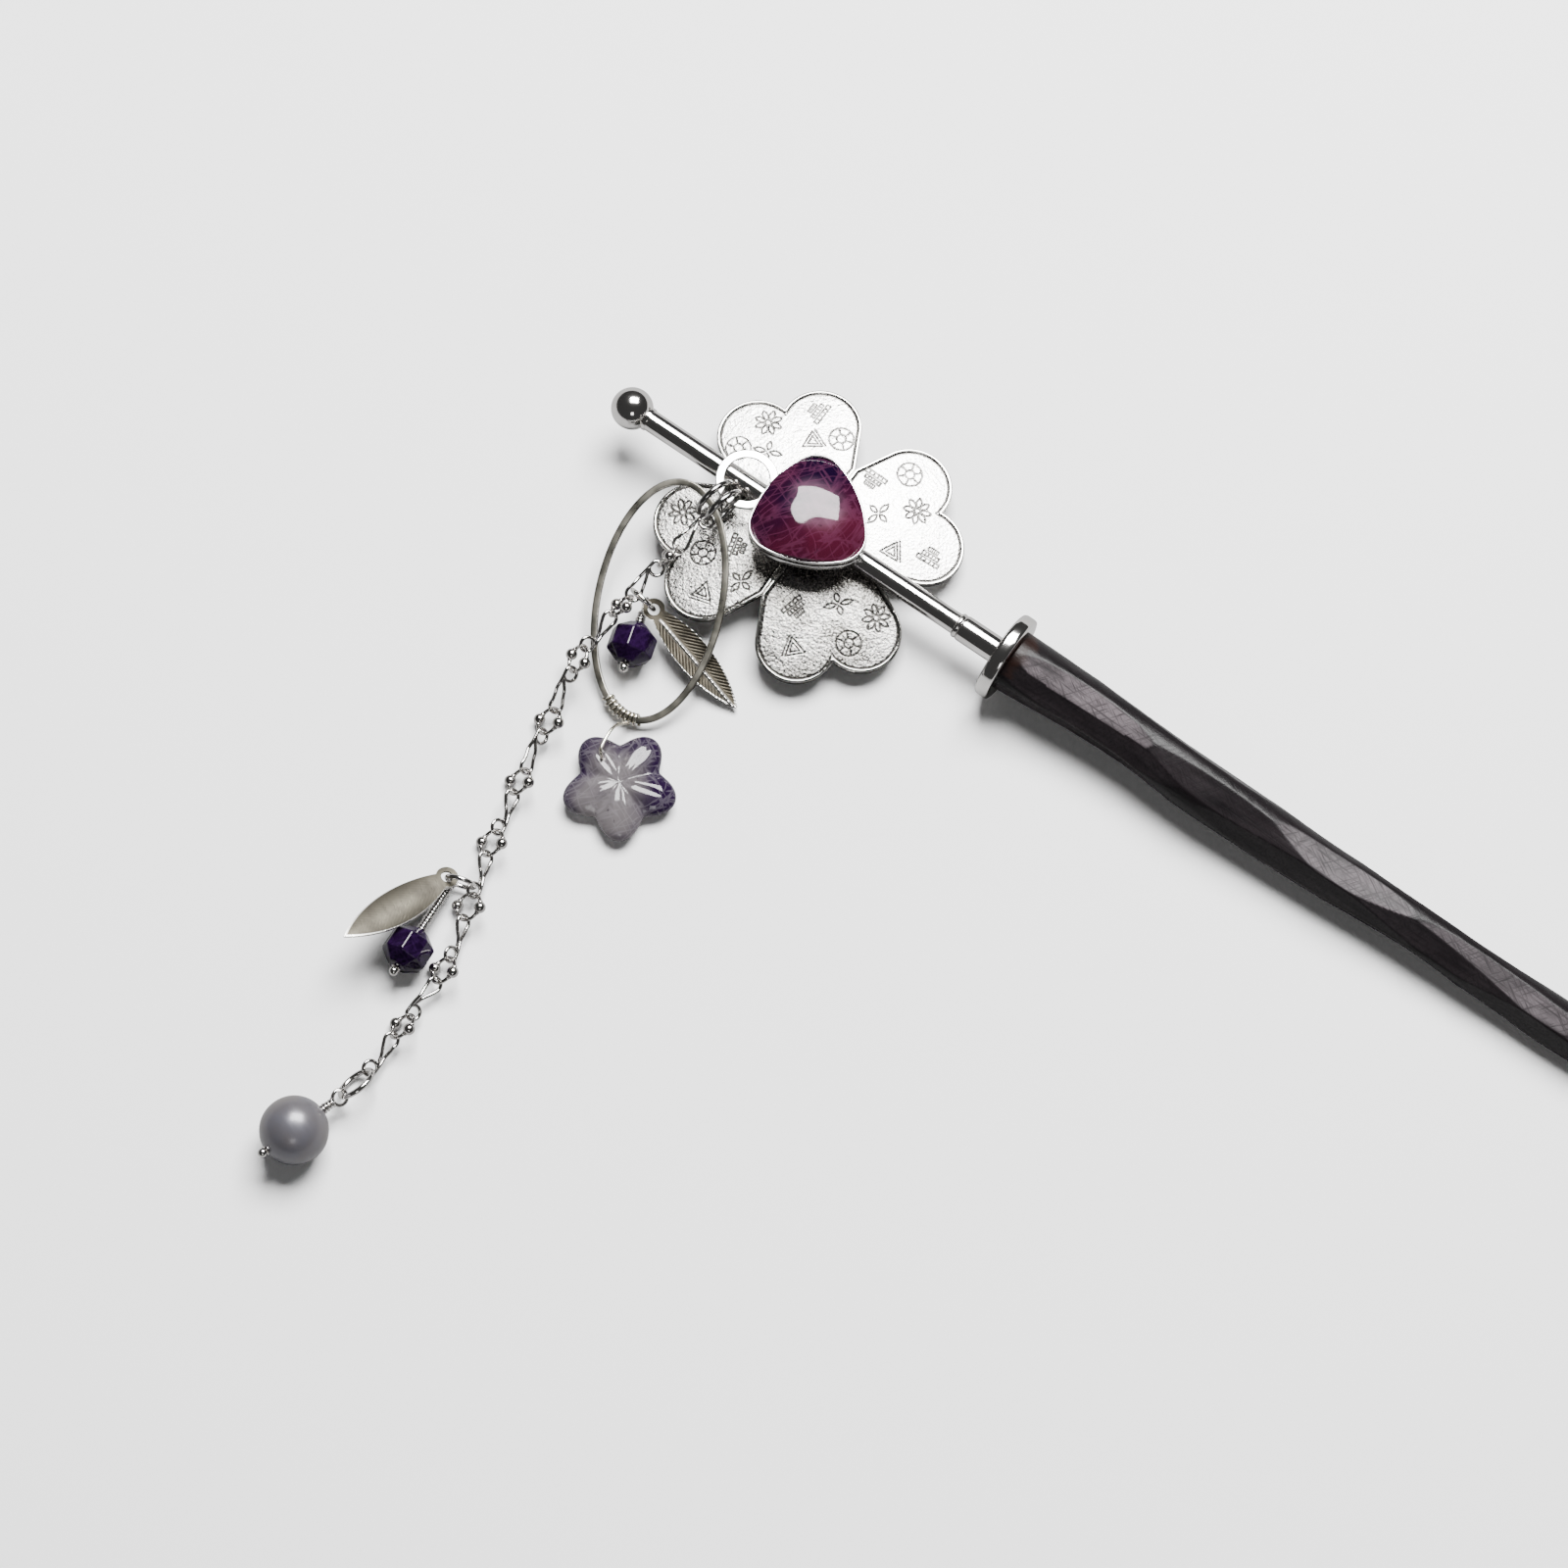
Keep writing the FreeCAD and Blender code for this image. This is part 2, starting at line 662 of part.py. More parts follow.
def make_link(label, placement):
    """A figure of eight in one plane: a round end each way, joined by two straight wires that cross."""
    ends_reach = f"({cell('link_half_length')} - {cell('link_end_radius')})"
    lean = f"asin({cell('link_end_radius')} / {ends_reach})"
    lean_now = math.degrees(math.asin(
        size("link_end_radius") / (size("link_half_length") - size("link_end_radius"))
    ))
    wire = f"{cell('chain_wire')} / 2"
    straight = f"sqrt({ends_reach} ^ 2 - {cell('link_end_radius')} ^ 2)"
    straight_now = math.sqrt(
        (size("link_half_length") - size("link_end_radius")) ** 2 - size("link_end_radius") ** 2
    )
    pieces = []
    for side, name in ((0, "Far"), (180, "Near")):
        end = make(
            "Part::Torus", f"{label}{name}", Radius1=cell("link_end_radius"), Radius2=wire,
            Angle3=f"180 deg + 2 * {lean}",
        )
        end.Placement = Placement(Vector(), Rotation(UP, side - 90 - lean_now))
        sign = "" if side == 0 else "-"
        end.setExpression("Placement.Base.x", f"{sign}{ends_reach}")
        pieces.append(end)
    for sign, name in ((1, "Up"), (-1, "Down")):
        across = make("Part::Cylinder", f"{label}{name}", Radius=wire, Height=f"2 * {straight}")
        heading = turned(ALONG, UP, sign * lean_now)
        across.Placement = Placement(heading * -straight_now, Rotation(UP, heading))
        pieces.append(across)
    node(fused(f"Link_{label}", pieces), label, placement)


def make_ball_ring(label, placement):
    """A wire ring with a small ball on each side of it."""
    wire = make(
        "Part::Torus", f"{label}Wire", Radius1=cell("ball_ring_radius"), Radius2=f"{cell('chain_wire')} / 2"
    )
    pieces = [wire]
    for sign in (-1, 1):
        ball = make("Part::Sphere", f"{label}Ball{sign + 1}", Radius=f"{cell('ball_ring_ball')} / 2")
        ball.setExpression("Placement.Base.y", f"{sign} * {cell('ball_ring_radius')}")
        pieces.append(ball)
    node(fused(f"BallRing_{label}", pieces), label, placement)


def make_chain():
    for number, frame in enumerate(LINK_FRAMES, 1):
        make_link(f"chain_link_{number:02d}", frame)
    for number, frame in enumerate(BALL_RING_FRAMES, 1):
        make_ball_ring(f"ball_ring_{number}", frame)


# --- the charms: a ring on the chain that carries a bead on a wrapped pin and a leaf ----------------------------

def linked(point, out, radius, wires):
    """The centre of a ring that goes round a wire's point: off to one side, so that the wires just clear."""
    return point + unit(out) * (radius - wires / 2 - size("link_play"))


def make_bead(label, placement):
    """An eight-sided barrel bead, widest in the middle, drilled from end to end."""
    half = size("bead_diameter") / 2
    sections = []
    for number, (height, girth) in enumerate(((-0.9, 0.45), (-0.42, 0.98), (0.42, 0.98), (0.9, 0.45))):
        section = make("Part::RegularPolygon", f"{label}Section{number}")
        section.Polygon = 8
        section.setExpression("Circumradius", f"{cell('bead_diameter')} / 2 * {girth}")
        section.setExpression("Placement.Base.z", f"{cell('bead_diameter')} / 2 * {height}")
        sections.append(section)
    facets = make("Part::Loft", f"{label}Facets")
    facets.Sections = sections
    facets.Solid = True
    facets.Ruled = True
    bore = make("Part::Cylinder", f"{label}Bore", at(z=-half), Height=cell("bead_diameter"))
    bore.setExpression("Radius", f"{cell('pin_wire')} / 2 + {cell('glue_gap')}")
    node(cut(f"Bead_{label}", facets, bore), label, placement)


def make_pin(label, placement, half_bead, loop_reach):
    """A headpin through a bead: a ball below it, the wire, a wound neck above it, and a loop."""
    wire = f"{cell('pin_wire')} / 2"
    low = half_bead + size("pin_ball") / 2
    neck = loop_reach - size("pin_loop_radius") - half_bead
    ball = make("Part::Sphere", f"{label}Ball", at(z=-low), Radius=f"{cell('pin_ball')} / 2")
    stem = make("Part::Cylinder", f"{label}Stem", at(z=-low), Radius=wire)
    stem.Height = low + half_bead + neck
    coil = make("Part::Cylinder", f"{label}Neck", at(z=half_bead), Radius=f"{cell('pin_neck_diameter')} / 2")
    coil.Height = neck
    loop = make("Part::Torus", f"{label}Loop", Radius1=cell("pin_loop_radius"), Radius2=wire)
    turn = Rotation(Vector(0, 1, 0), 90)
    loop.Placement = Placement(Vector(0, 0, loop_reach), turn)
    node(fused(f"Pin_{label}", [ball, stem, coil, loop]), label, placement)


def make_leaf(label, placement, bulge):
    """A pointed oval of sheet bent across its width, up or down, with a drilled tab at its root."""
    length = size("leaf_length")
    width = size("leaf_width")
    side_radius = (length**2 + width**2) / (4 * width)
    bend = size("leaf_bend_radius")
    half_sheet = size("leaf_sheet") / 2
    prism = []
    for sign in (-1, 1):
        side = make(
            "Part::Cylinder", f"{label}Side{sign + 1}", at(y=sign * (side_radius - width / 2), z=-width / 2),
            Radius=(
                f"({cell('leaf_length')} ^ 2 + {cell('leaf_width')} ^ 2) / (4 * {cell('leaf_width')})"
            ),
            Height=cell("leaf_width"),
        )
        prism.append(side)
    tab = make("Part::Cylinder", f"{label}Tab", Radius=f"{cell('leaf_hole')}", Height=cell("leaf_width"))
    tab.setExpression("Placement.Base.x", f"-{cell('leaf_length')} / 2 + {cell('leaf_hole')} * 0.7")
    tab.setExpression("Placement.Base.z", f"-{cell('leaf_width')} / 2")
    outline = fused(f"{label}Outline", [common(f"{label}Oval", *prism), tab])
    shells = []
    for sign in (1, -1):
        shell = make("Part::Cylinder", f"{label}Bend{sign + 1}", on_x(-length), Height=cell("leaf_length"))
        shell.setExpression("Height", f"2 * {cell('leaf_length')}")
        shell.Placement.Base.z = -bulge * bend
        shell.setExpression("Radius", f"{cell('leaf_bend_radius')} + {sign} * {cell('leaf_sheet')} / 2")
        shells.append(shell)
    sheet_metal = common(f"{label}Sheet", outline, cut(f"{label}Shell", *shells))
    hole = make(
        "Part::Cylinder", f"{label}Hole", Radius=f"{cell('leaf_hole')} / 2", Height=f"2 * {cell('leaf_width')}"
    )
    hole.setExpression("Placement.Base.x", f"-{cell('leaf_length')} / 2 + {cell('leaf_hole')} * 0.7")
    hole.setExpression("Placement.Base.z", f"-{cell('leaf_width')}")
    node(cut(f"Leaf_{label}", sheet_metal, hole), label, placement)


LEAF_HOLE_REACH = size("leaf_length") / 2 - size("leaf_hole") * 0.7
RING_WIRES = size("charm_ring_wire") + size("chain_wire")


def hung(centre, out, normal):
    """A ring's placement with its X along out, and its Z as near a normal as out allows."""
    return Placement(centre, Rotation(out, Vector(), normal, "XZY"))


class Charm:
    """Where one charm's ring, bead and leaf lie, from the side wire of the chain link that it hangs on.

    The ring stands square to the link. Its hooks are angles round it, from its outermost point on.
    """

    def __init__(self, link, side, out, bead_hook, bead_at, leaf_hook, leaf_tip):
        frame = LINK_FRAMES[link - 1]
        # a link's round end is widest here, and leaves room for the ring beside the next piece of chain
        forward = size("link_half_length") - size("link_end_radius") * 4 / 3
        sideways = side * size("link_end_radius") * 0.94
        side_wire = frame.multVec(Vector(forward, sideways, 0))
        along = frame.Rotation.multVec(ALONG)
        outward = unit(Vector(*out) - along * along.dot(Vector(*out)))
        centre = linked(side_wire, outward, size("charm_ring_radius"), RING_WIRES)
        self.ring = hung(centre, outward, along)
        self.bead = above_table(*bead_at)
        self.bead_held = self.round_ring(bead_hook)
        self.leaf_held = self.round_ring(leaf_hook)
        self.leaf_tip = above_table(*leaf_tip)

    def round_ring(self, degrees):
        """The middle of the ring's wire, so far round from its outermost point."""
        return self.ring.multVec(turned(ALONG, UP, degrees) * size("charm_ring_radius"))

    def pin_place(self):
        """The pin's place, with Z from the bead to its loop, and how far off the loop's centre is."""
        wires = size("charm_ring_wire") + size("pin_wire")
        loop = linked(self.bead_held, self.bead - self.bead_held, size("pin_loop_radius"), wires)
        wire_run = self.ring.Rotation.multVec(UP).cross(self.bead_held - self.ring.Base)
        return facing(self.bead, unit(loop - self.bead), wire_run), (loop - self.bead).Length

    def leaf_place(self, roll):
        """The leaf's place, with X from its drilled root to its tip, rolled about that line."""
        along = unit(self.leaf_tip - self.leaf_held)
        across = turned(unit(UP.cross(along)), along, roll)
        return Placement(self.leaf_held + along * LEAF_HOLE_REACH, Rotation(along, across, Vector(), "XYZ"))


UPPER = Charm(
    link=2, side=-1, out=(0.25, 0.0, -0.97),
    bead_hook=-10, bead_at=(-40.0, -24.1, 3.12), leaf_hook=60, leaf_tip=(-25.0, -22.9, 0.8),
)
LOWER = Charm(
    link=7, side=1, out=(-0.95, -0.28, 0.12),
    bead_hook=55, bead_at=(-39.4, -71.2, 3.1), leaf_hook=0, leaf_tip=(-45.2, -75.4, 9.0),
)


def make_charm(prefix, charm, leaf_roll, leaf_bulge):
    make_ring(f"{prefix}_charm_ring", "charm_ring_wire", "charm_ring_radius", charm.ring)
    place, reach = charm.pin_place()
    make_bead(f"{prefix}_bead", place)
    make_pin(f"{prefix}_bead_pin", place, size("bead_diameter") / 2 * 0.9, reach)
    make_leaf(f"{prefix}_leaf", charm.leaf_place(leaf_roll), leaf_bulge)


# --- the pearl at the chain's end ----------------------------------------------------------------------------

PEARL_WIRES = size("pearl_ring_wire") + size("chain_wire")
PEARL_RING_OUT = unit(Vector(-0.1, -1.0, 0.2))
PEARL_RING = hung(
    linked(CHAIN[-1], PEARL_RING_OUT, size("pearl_ring_radius"), PEARL_WIRES),
    PEARL_RING_OUT,
    LINK_FRAMES[-1].Rotation.multVec(Vector(0, 1, 0)),
)
PEARL_HELD = PEARL_RING.multVec(turned(ALONG, UP, -10) * size("pearl_ring_radius"))
PEARL_CENTRE = above_table(-37.0, -97.0, size("pearl_diameter") / 2)
PEARL_LOOP = linked(
    PEARL_HELD, PEARL_CENTRE - PEARL_HELD, size("pin_loop_radius"), size("pearl_ring_wire") + size("pin_wire")
)


def make_pearl_drop():
    """The last ring, and the drilled pearl on its own pin."""
    make_ring("pearl_ring", "pearl_ring_wire", "pearl_ring_radius", PEARL_RING)
    reach = PEARL_LOOP - PEARL_CENTRE
    wire_run = PEARL_RING.Rotation.multVec(UP).cross(PEARL_HELD - PEARL_RING.Base)
    place = facing(PEARL_CENTRE, unit(reach), wire_run)
    whole = make("Part::Sphere", "PearlWhole", Radius=f"{cell('pearl_diameter')} / 2")
    bore = make(
        "Part::Cylinder", "PearlBore", at(z=-size("pearl_diameter")),
        Radius=f"{cell('pin_wire')} / 2 + {cell('glue_gap')}", Height=f"2 * {cell('pearl_diameter')}",
    )
    node(cut("Pearl", whole, bore), "pearl", place)
    make_pin("pearl_pin", place, size("pearl_diameter") / 2, reach.Length)


def check_document():
    """Every object has to be up to date, and every sub-part a valid solid, before anything is written."""
    doc.recompute()
    for thing in doc.Objects:
        if "Invalid" in thing.State or "Error" in thing.State:
            raise RuntimeError(f"{thing.Name} did not build: {thing.State}")
    for piece in NODES:
        if piece.Shape.isNull() or not piece.Shape.isValid() or not piece.Shape.Solids:
            raise RuntimeError(f"{piece.Label} is not a valid solid")


def write_nodes():
    os.makedirs("parts", exist_ok=True)
    for piece in NODES:
        piece.Shape.exportStep(f"parts/{piece.Label}.step")


make_stick()
make_flange()
make_sleeve()
make_rod()
make_ball()
make_clover()
make_staple("binding_wire_front", -1)
make_staple("binding_wire_back", 1)
make_hanger()
make_bezel()
make_stone()
make_jump_rings()
make_hoop()
make_hoop_wrap()
make_flower()
make_chain()
make_charm("upper", UPPER, leaf_roll=0, leaf_bulge=-1)
make_charm("lower", LOWER, leaf_roll=0, leaf_bulge=1)
make_pearl_drop()
check_document()
write_nodes()
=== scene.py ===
"""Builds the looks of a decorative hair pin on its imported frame.

Every piece is a numpy surface in metres, in the frame's own axes. Small lengths are written in millimetres
and turned into metres by the MM factor.
"""

import math

import bpy
import numpy as np
from bpy.props import FloatProperty, FloatVectorProperty, IntProperty, PointerProperty
from mathutils import Matrix, Vector


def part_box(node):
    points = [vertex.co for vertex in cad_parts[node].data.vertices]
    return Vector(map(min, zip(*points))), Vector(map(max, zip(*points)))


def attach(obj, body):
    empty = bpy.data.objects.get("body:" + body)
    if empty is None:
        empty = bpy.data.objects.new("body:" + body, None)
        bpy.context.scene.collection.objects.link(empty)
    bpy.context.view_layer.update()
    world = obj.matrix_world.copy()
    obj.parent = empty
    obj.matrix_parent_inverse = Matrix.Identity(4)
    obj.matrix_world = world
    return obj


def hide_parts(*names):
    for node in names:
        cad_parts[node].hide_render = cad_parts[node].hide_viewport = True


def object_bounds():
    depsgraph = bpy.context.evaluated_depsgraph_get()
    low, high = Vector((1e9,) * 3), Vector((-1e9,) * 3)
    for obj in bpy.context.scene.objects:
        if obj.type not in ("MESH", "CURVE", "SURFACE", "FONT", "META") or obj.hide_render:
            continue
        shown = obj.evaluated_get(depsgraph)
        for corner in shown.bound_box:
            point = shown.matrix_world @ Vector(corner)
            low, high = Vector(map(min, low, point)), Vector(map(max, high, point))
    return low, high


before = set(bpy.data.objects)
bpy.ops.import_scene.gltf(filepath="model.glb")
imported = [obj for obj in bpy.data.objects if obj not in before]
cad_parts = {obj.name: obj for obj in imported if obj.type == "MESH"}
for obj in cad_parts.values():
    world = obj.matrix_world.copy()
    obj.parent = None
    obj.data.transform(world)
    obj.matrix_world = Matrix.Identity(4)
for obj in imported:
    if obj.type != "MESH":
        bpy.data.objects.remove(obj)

bl_info = {
    "name": "Clover hair pin",
    "version": (1, 0, 0),
    "blender": (4, 5, 0),
    "location": "View3D > Sidebar > Hair Pin",
    "description": "Makes the stick, clover, stone, hoop, flower, chain and charms of a hair pin",
    "category": "Add Mesh",
}

MM = 0.001
TAU = 2 * math.pi
OFF_AXIS = (0.31, 0.42, 0.85)  # a direction that no spun solid's axis lies along
CAD_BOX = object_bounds()


# --- arrays ---------------------------------------------------------------------------------------


def unit(v):
    """A vector or rows of vectors, each divided by its own length."""
    v = np.asarray(v, float)
    return v / np.maximum(np.linalg.norm(v, axis=-1, keepdims=True), 1e-12)


def node_points(name):
    """Triangle corners of a CAD node, as an array of triangles by corners by coordinates."""
    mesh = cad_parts[name].data
    mesh.calc_loop_triangles()
    corners = np.empty(len(mesh.loop_triangles) * 3, int)
    mesh.loop_triangles.foreach_get("vertices", corners)
    spots = np.empty(len(mesh.vertices) * 3)
    mesh.vertices.foreach_get("co", spots)
    return spots.reshape(-1, 3)[corners].reshape(-1, 3, 3)


def lie_of(name, keep=None):
    """Centre and axes of a node: the directions in which its surface spreads most, next and least.

    Each triangle counts by its area, so the fineness of the mesh doesn't matter.
    """
    tris = node_points(name)
    if keep is not None:
        tris = tris[keep(tris.mean(1))]
    area = np.linalg.norm(np.cross(tris[:, 1] - tris[:, 0], tris[:, 2] - tris[:, 0]), axis=1)
    middles = tris.mean(1)
    centre = (middles * area[:, None]).sum(0) / area.sum()
    off = middles - centre
    spread = (off * area[:, None]).T @ off
    values, vectors = np.linalg.eigh(spread)
    order = np.argsort(values)[::-1]
    axes = vectors[:, order].T
    axes[2] = np.cross(axes[0], axes[1])
    return centre, axes


def placed(local, centre, axes):
    """Local points, in metres, carried to a centre with the given axes as rows."""
    return np.asarray(local) @ np.asarray(axes) + np.asarray(centre)


def smooth_path(stops, count, closed=False):
    """A Catmull-Rom curve through stops: cubic spans whose end slopes are half the step across."""
    stops = np.asarray(stops, float)
    if closed:
        padded = np.vstack([stops[-1], stops, stops[0], stops[1]])
        spans = len(stops)
    else:
        padded = np.vstack([2 * stops[0] - stops[1], stops, 2 * stops[-1] - stops[-2]])
        spans = len(stops) - 1
    at = np.linspace(0, spans, count, endpoint=not closed)
    i = np.minimum(at.astype(int), spans - 1)
    t = (at - i)[:, None]
    a, b, c, d = padded[i], padded[i + 1], padded[i + 2], padded[i + 3]
    return 0.5 * (2 * b + (c - a) * t + (2 * a - 5 * b + 4 * c - d) * t**2 + (3 * b - a - 3 * c + d) * t**3)


def evenly(path, count, closed=False):
    """The same line with points at equal steps of its length."""
    line = np.vstack([path, path[:1]]) if closed else path
    run = np.concatenate([[0], np.cumsum(np.linalg.norm(np.diff(line, axis=0), axis=1))])
    at = np.linspace(0, run[-1], count, endpoint=not closed)
    return np.stack([np.interp(at, run, line[:, k]) for k in range(3)], 1)


def cell_noise(points, seed, octaves=3):
    """Smooth noise between -1 and 1: sines of the point along random directions, each octave finer."""
    rng = np.random.default_rng(seed)
    total = np.zeros(points.shape[:-1])
    weight = 0.0
    for octave in range(octaves):
        for _ in range(5):
            direction = unit(rng.normal(size=3)) * (1.9**octave) * rng.uniform(0.7, 1.3)
            total = total + np.sin(points @ direction * TAU + rng.uniform(0, TAU)) * 0.6**octave
            weight += 0.6**octave * 0.5
    return total / weight


# --- meshes ---------------------------------------------------------------------------------------


def with_poles(values, at_poles=0.0):
    """A mark's values row by row, and its value at the two poles that skin() adds."""
    return np.append(values.ravel(), [at_poles, at_poles])


def finish_mesh(name, surface, finish, body, node, sharp=None, marks=None):
    """A smooth-shaded mesh object whose faces point outwards, riding on a body and standing for a CAD node.

    The surface is the points, quads and triangles that skin() gives. The slot has the finish's name.
    """
    spots, quads, tris = surface
    spots = np.asarray(spots, float)
    quads = np.asarray(quads, int).reshape(-1, 4)
    tris = np.asarray(tris, int).reshape(-1, 3)
    every = np.vstack([quads[:, :3], quads[:, [0, 2, 3]], tris])
    middle = spots.mean(0)
    a, b, c = (spots[every[:, k]] - middle for k in range(3))
    if np.einsum("ij,ij->i", a, np.cross(b, c)).sum() < 0:
        quads = quads[:, ::-1]
        tris = tris[:, ::-1]
    mesh = bpy.data.meshes.new(name)
    mesh.from_pydata(spots.tolist(), [], quads.tolist() + tris.tolist())
    mesh.shade_smooth()
    if sharp:
        mesh.set_sharp_from_angle(angle=math.radians(sharp))
    for mark, values in (marks or {}).items():
        layer = mesh.attributes.new(mark, "FLOAT", "POINT")
        layer.data.foreach_set("value", np.ascontiguousarray(values, np.float32).ravel())
    mesh.materials.append(FINISHES[finish])
    piece = bpy.data.objects.new(name, mesh)
    bpy.context.scene.collection.objects.link(piece)
    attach(piece, body)
    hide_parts(node)
    return piece


def grid_faces(rows, columns, wrap_rows=False):
    """Quads of a grid whose columns always wrap round."""
    r = np.arange(rows if wrap_rows else rows - 1)[:, None]
    c = np.arange(columns)[None, :]
    r2, c2 = (r + 1) % rows, (c + 1) % columns
    return np.stack(
        [r * columns + c, r * columns + c2, r2 * columns + c2, r2 * columns + c], -1
    ).reshape(-1, 4)


def skin(grid, wrap_rows=False):
    """Points and faces of rows of rings. Where the rows don't wrap, a pole closes each end."""
    rows, columns = grid.shape[:2]
    spots = grid.reshape(-1, 3)
    quads = grid_faces(rows, columns, wrap_rows)
    tris = np.empty((0, 3), int)
    if not wrap_rows:
        first, last = len(spots), len(spots) + 1
        spots = np.vstack([spots, grid[0].mean(0), grid[-1].mean(0)])
        c = np.arange(columns)
        c2 = (c + 1) % columns
        start = np.stack([np.full(columns, first), c2, c], 1)
        low = (rows - 1) * columns
        end = np.stack([np.full(columns, last), low + c, low + c2], 1)
        tris = np.vstack([start, end])
    return spots, quads, tris


def joined(parts):
    """Several skins as one list of points and faces."""
    spots, quads, tris, base = [], [], [], 0
    for s, q, t in parts:
        spots.append(s)
        quads.append(q + base)
        tris.append(t + base)
        base += len(s)
    return np.vstack(spots), np.vstack(quads), np.vstack(tris)


def swept(path, side, up, section, closed=True, scale=None):
    """A section carried along a path: its first number goes along side, and its second along up."""
    section = np.asarray(section, float)
    if scale is None:
        scale = np.ones(len(path))
    ring = section[None] * np.asarray(scale)[:, None, None]
    grid = path[:, None] + ring[..., :1] * side[:, None] + ring[..., 1:] * up[:, None]
    return skin(grid, wrap_rows=closed)


def tangents(path, closed):
    if closed:
        return unit(np.roll(path, -1, 0) - np.roll(path, 1, 0))
    return unit(np.gradient(path, axis=0))


def wire(path, radius, normal, closed=False, sides=12):
    """A round wire along a path: a circle of that radius, set square to the path by a reference normal.

    An open wire ends in half balls: near each end the radius falls off as a circle does.
    """
    t = tangents(path, closed)
    side = unit(np.cross(t, np.broadcast_to(normal, path.shape)))
    up = np.cross(side, t)
    turn = np.linspace(0, TAU, sides, endpoint=False)
    section = np.stack([np.cos(turn), np.sin(turn)], 1) * radius
    scale = None
    if not closed:
        bulge = np.linspace(0, math.pi / 2, 5)[1:]
        start = path[0] - t[0] * radius * np.cos(bulge)[:, None]
        end = path[-1] + t[-1] * radius * np.cos(bulge)[::-1][:, None]
        path = np.vstack([start, path, end])
        side = np.vstack([np.repeat(side[:1], 4, 0), side, np.repeat(side[-1:], 4, 0)])
        up = np.vstack([np.repeat(up[:1], 4, 0), up, np.repeat(up[-1:], 4, 0)])
        scale = np.concatenate([np.sin(bulge), np.ones(len(t)), np.sin(bulge)[::-1]])
    return swept(path, side, up, section, closed, scale)


def ring_of(centre, axes, radius, thick, count=72, sides=16, wobble=0.0):
    """A torus: a circle in the plane of the first two axes, with a round wire about it."""
    turn = np.linspace(0, TAU, count, endpoint=False)
    out = radius * (1 + wobble * np.cos(2 * turn))
    local = np.stack([np.cos(turn) * out, np.sin(turn) * out, 0 * turn], 1)
    return wire(placed(local, centre, axes), thick, axes[2], closed=True, sides=sides)


def turned_solid(profile, centre, axis, count=64, closed=False):
    """A profile of (distance along the axis, radius) spun round the axis.

    A closed profile doesn't touch the axis, and both ways wrap.
    """
    profile = np.asarray(profile, float)
    axis = unit(axis)
    side = unit(np.cross(axis, OFF_AXIS))
    up = np.cross(axis, side)
    turn = np.linspace(0, TAU, count, endpoint=False)
    ring = np.cos(turn)[:, None] * side + np.sin(turn)[:, None] * up
    grid = np.asarray(centre) + profile[:, None, :1] * axis + profile[:, None, 1:] * ring[None]
    return skin(grid, wrap_rows=closed)


def ball(centre, radius, rows=20, columns=32, axis=(0, 0, 1)):
    turn = np.linspace(0, math.pi, rows + 2)[1:-1]
    return turned_solid(np.stack([-np.cos(turn), np.sin(turn)], 1) * radius, centre, axis, columns)


def rounded(profile, steps=4):
    """A profile with each inner corner replaced by a short curve, from a third of the way along its sides."""
    profile = np.asarray(profile, float)
    out = [profile[:1]]
    t = np.linspace(0, 1, steps + 1)[:, None]
    for before, corner, after in zip(profile[:-2], profile[1:-1], profile[2:]):
        reach = min(np.linalg.norm(before - corner), np.linalg.norm(after - corner)) * 0.34
        a = corner + unit(before - corner) * reach
        b = corner + unit(after - corner) * reach
        out.append((1 - t) ** 2 * a + 2 * t * (1 - t) * corner + t**2 * b)
    out.append(profile[-1:])
    return np.vstack(out)


# --- shader building ------------------------------------------------------------------------------


def new_group(name, inputs, outputs):
    """An empty node group with named sockets, and its two ends."""
    tree = bpy.data.node_groups.new(name, "ShaderNodeTree")
    for label, kind, default in inputs:
        socket = tree.interface.new_socket(name=label, in_out="INPUT", socket_type=kind)
        if default is not None:
            socket.default_value = default
    for label, kind in outputs:
        tree.interface.new_socket(name=label, in_out="OUTPUT", socket_type=kind)
    return tree, tree.nodes.new("NodeGroupInput"), tree.nodes.new("NodeGroupOutput")


def feed(tree, socket, value):
    """Links an input to another node's output, or sets it to a plain value."""
    if isinstance(value, bpy.types.NodeSocket):
        tree.links.new(value, socket)
    else:
        socket.default_value = value


def add(tree, kind, **sockets):
    """A node whose inputs are fed by name, or by number as i0, i1 and so on."""
    node = tree.nodes.new(kind)
    for label, value in sockets.items():
        numbered = label[0] == "i" and label[1:].isdigit()
        feed(tree, node.inputs[int(label[1:]) if numbered else label], value)
    return node


def maths(tree, operation, a, b=0.0, clamp=False):
    node = add(tree, "ShaderNodeMath", i0=a, i1=b)
    node.operation = operation
    node.use_clamp = clamp
    return node.outputs[0]


def times(tree, a, b):
    return maths(tree, "MULTIPLY", a, b)


def plus(tree, a, b, clamp=False):
    return maths(tree, "ADD", a, b, clamp)


def less(tree, a, b, clamp=False):
    return maths(tree, "SUBTRACT", a, b, clamp)


def larger(tree, a, b):
    return maths(tree, "MAXIMUM", a, b)


def mixed(tree, how_much, a, b):
    """Colour a going over to colour b."""
    node = tree.nodes.new("ShaderNodeMix")
    node.data_type = "RGBA"
    for index, value in ((0, how_much), (6, a), (7, b)):
        feed(tree, node.inputs[index], value)
    return node.outputs[2]


def between(tree, value, low, high, out_low=0.0, out_high=1.0):
    """A value's place between low and high, as a number between the two outer ones."""
    node = tree.nodes.new("ShaderNodeMapRange")
    for index, number in enumerate((value, low, high, out_low, out_high)):
        feed(tree, node.inputs[index], number)
    return node.outputs[0]


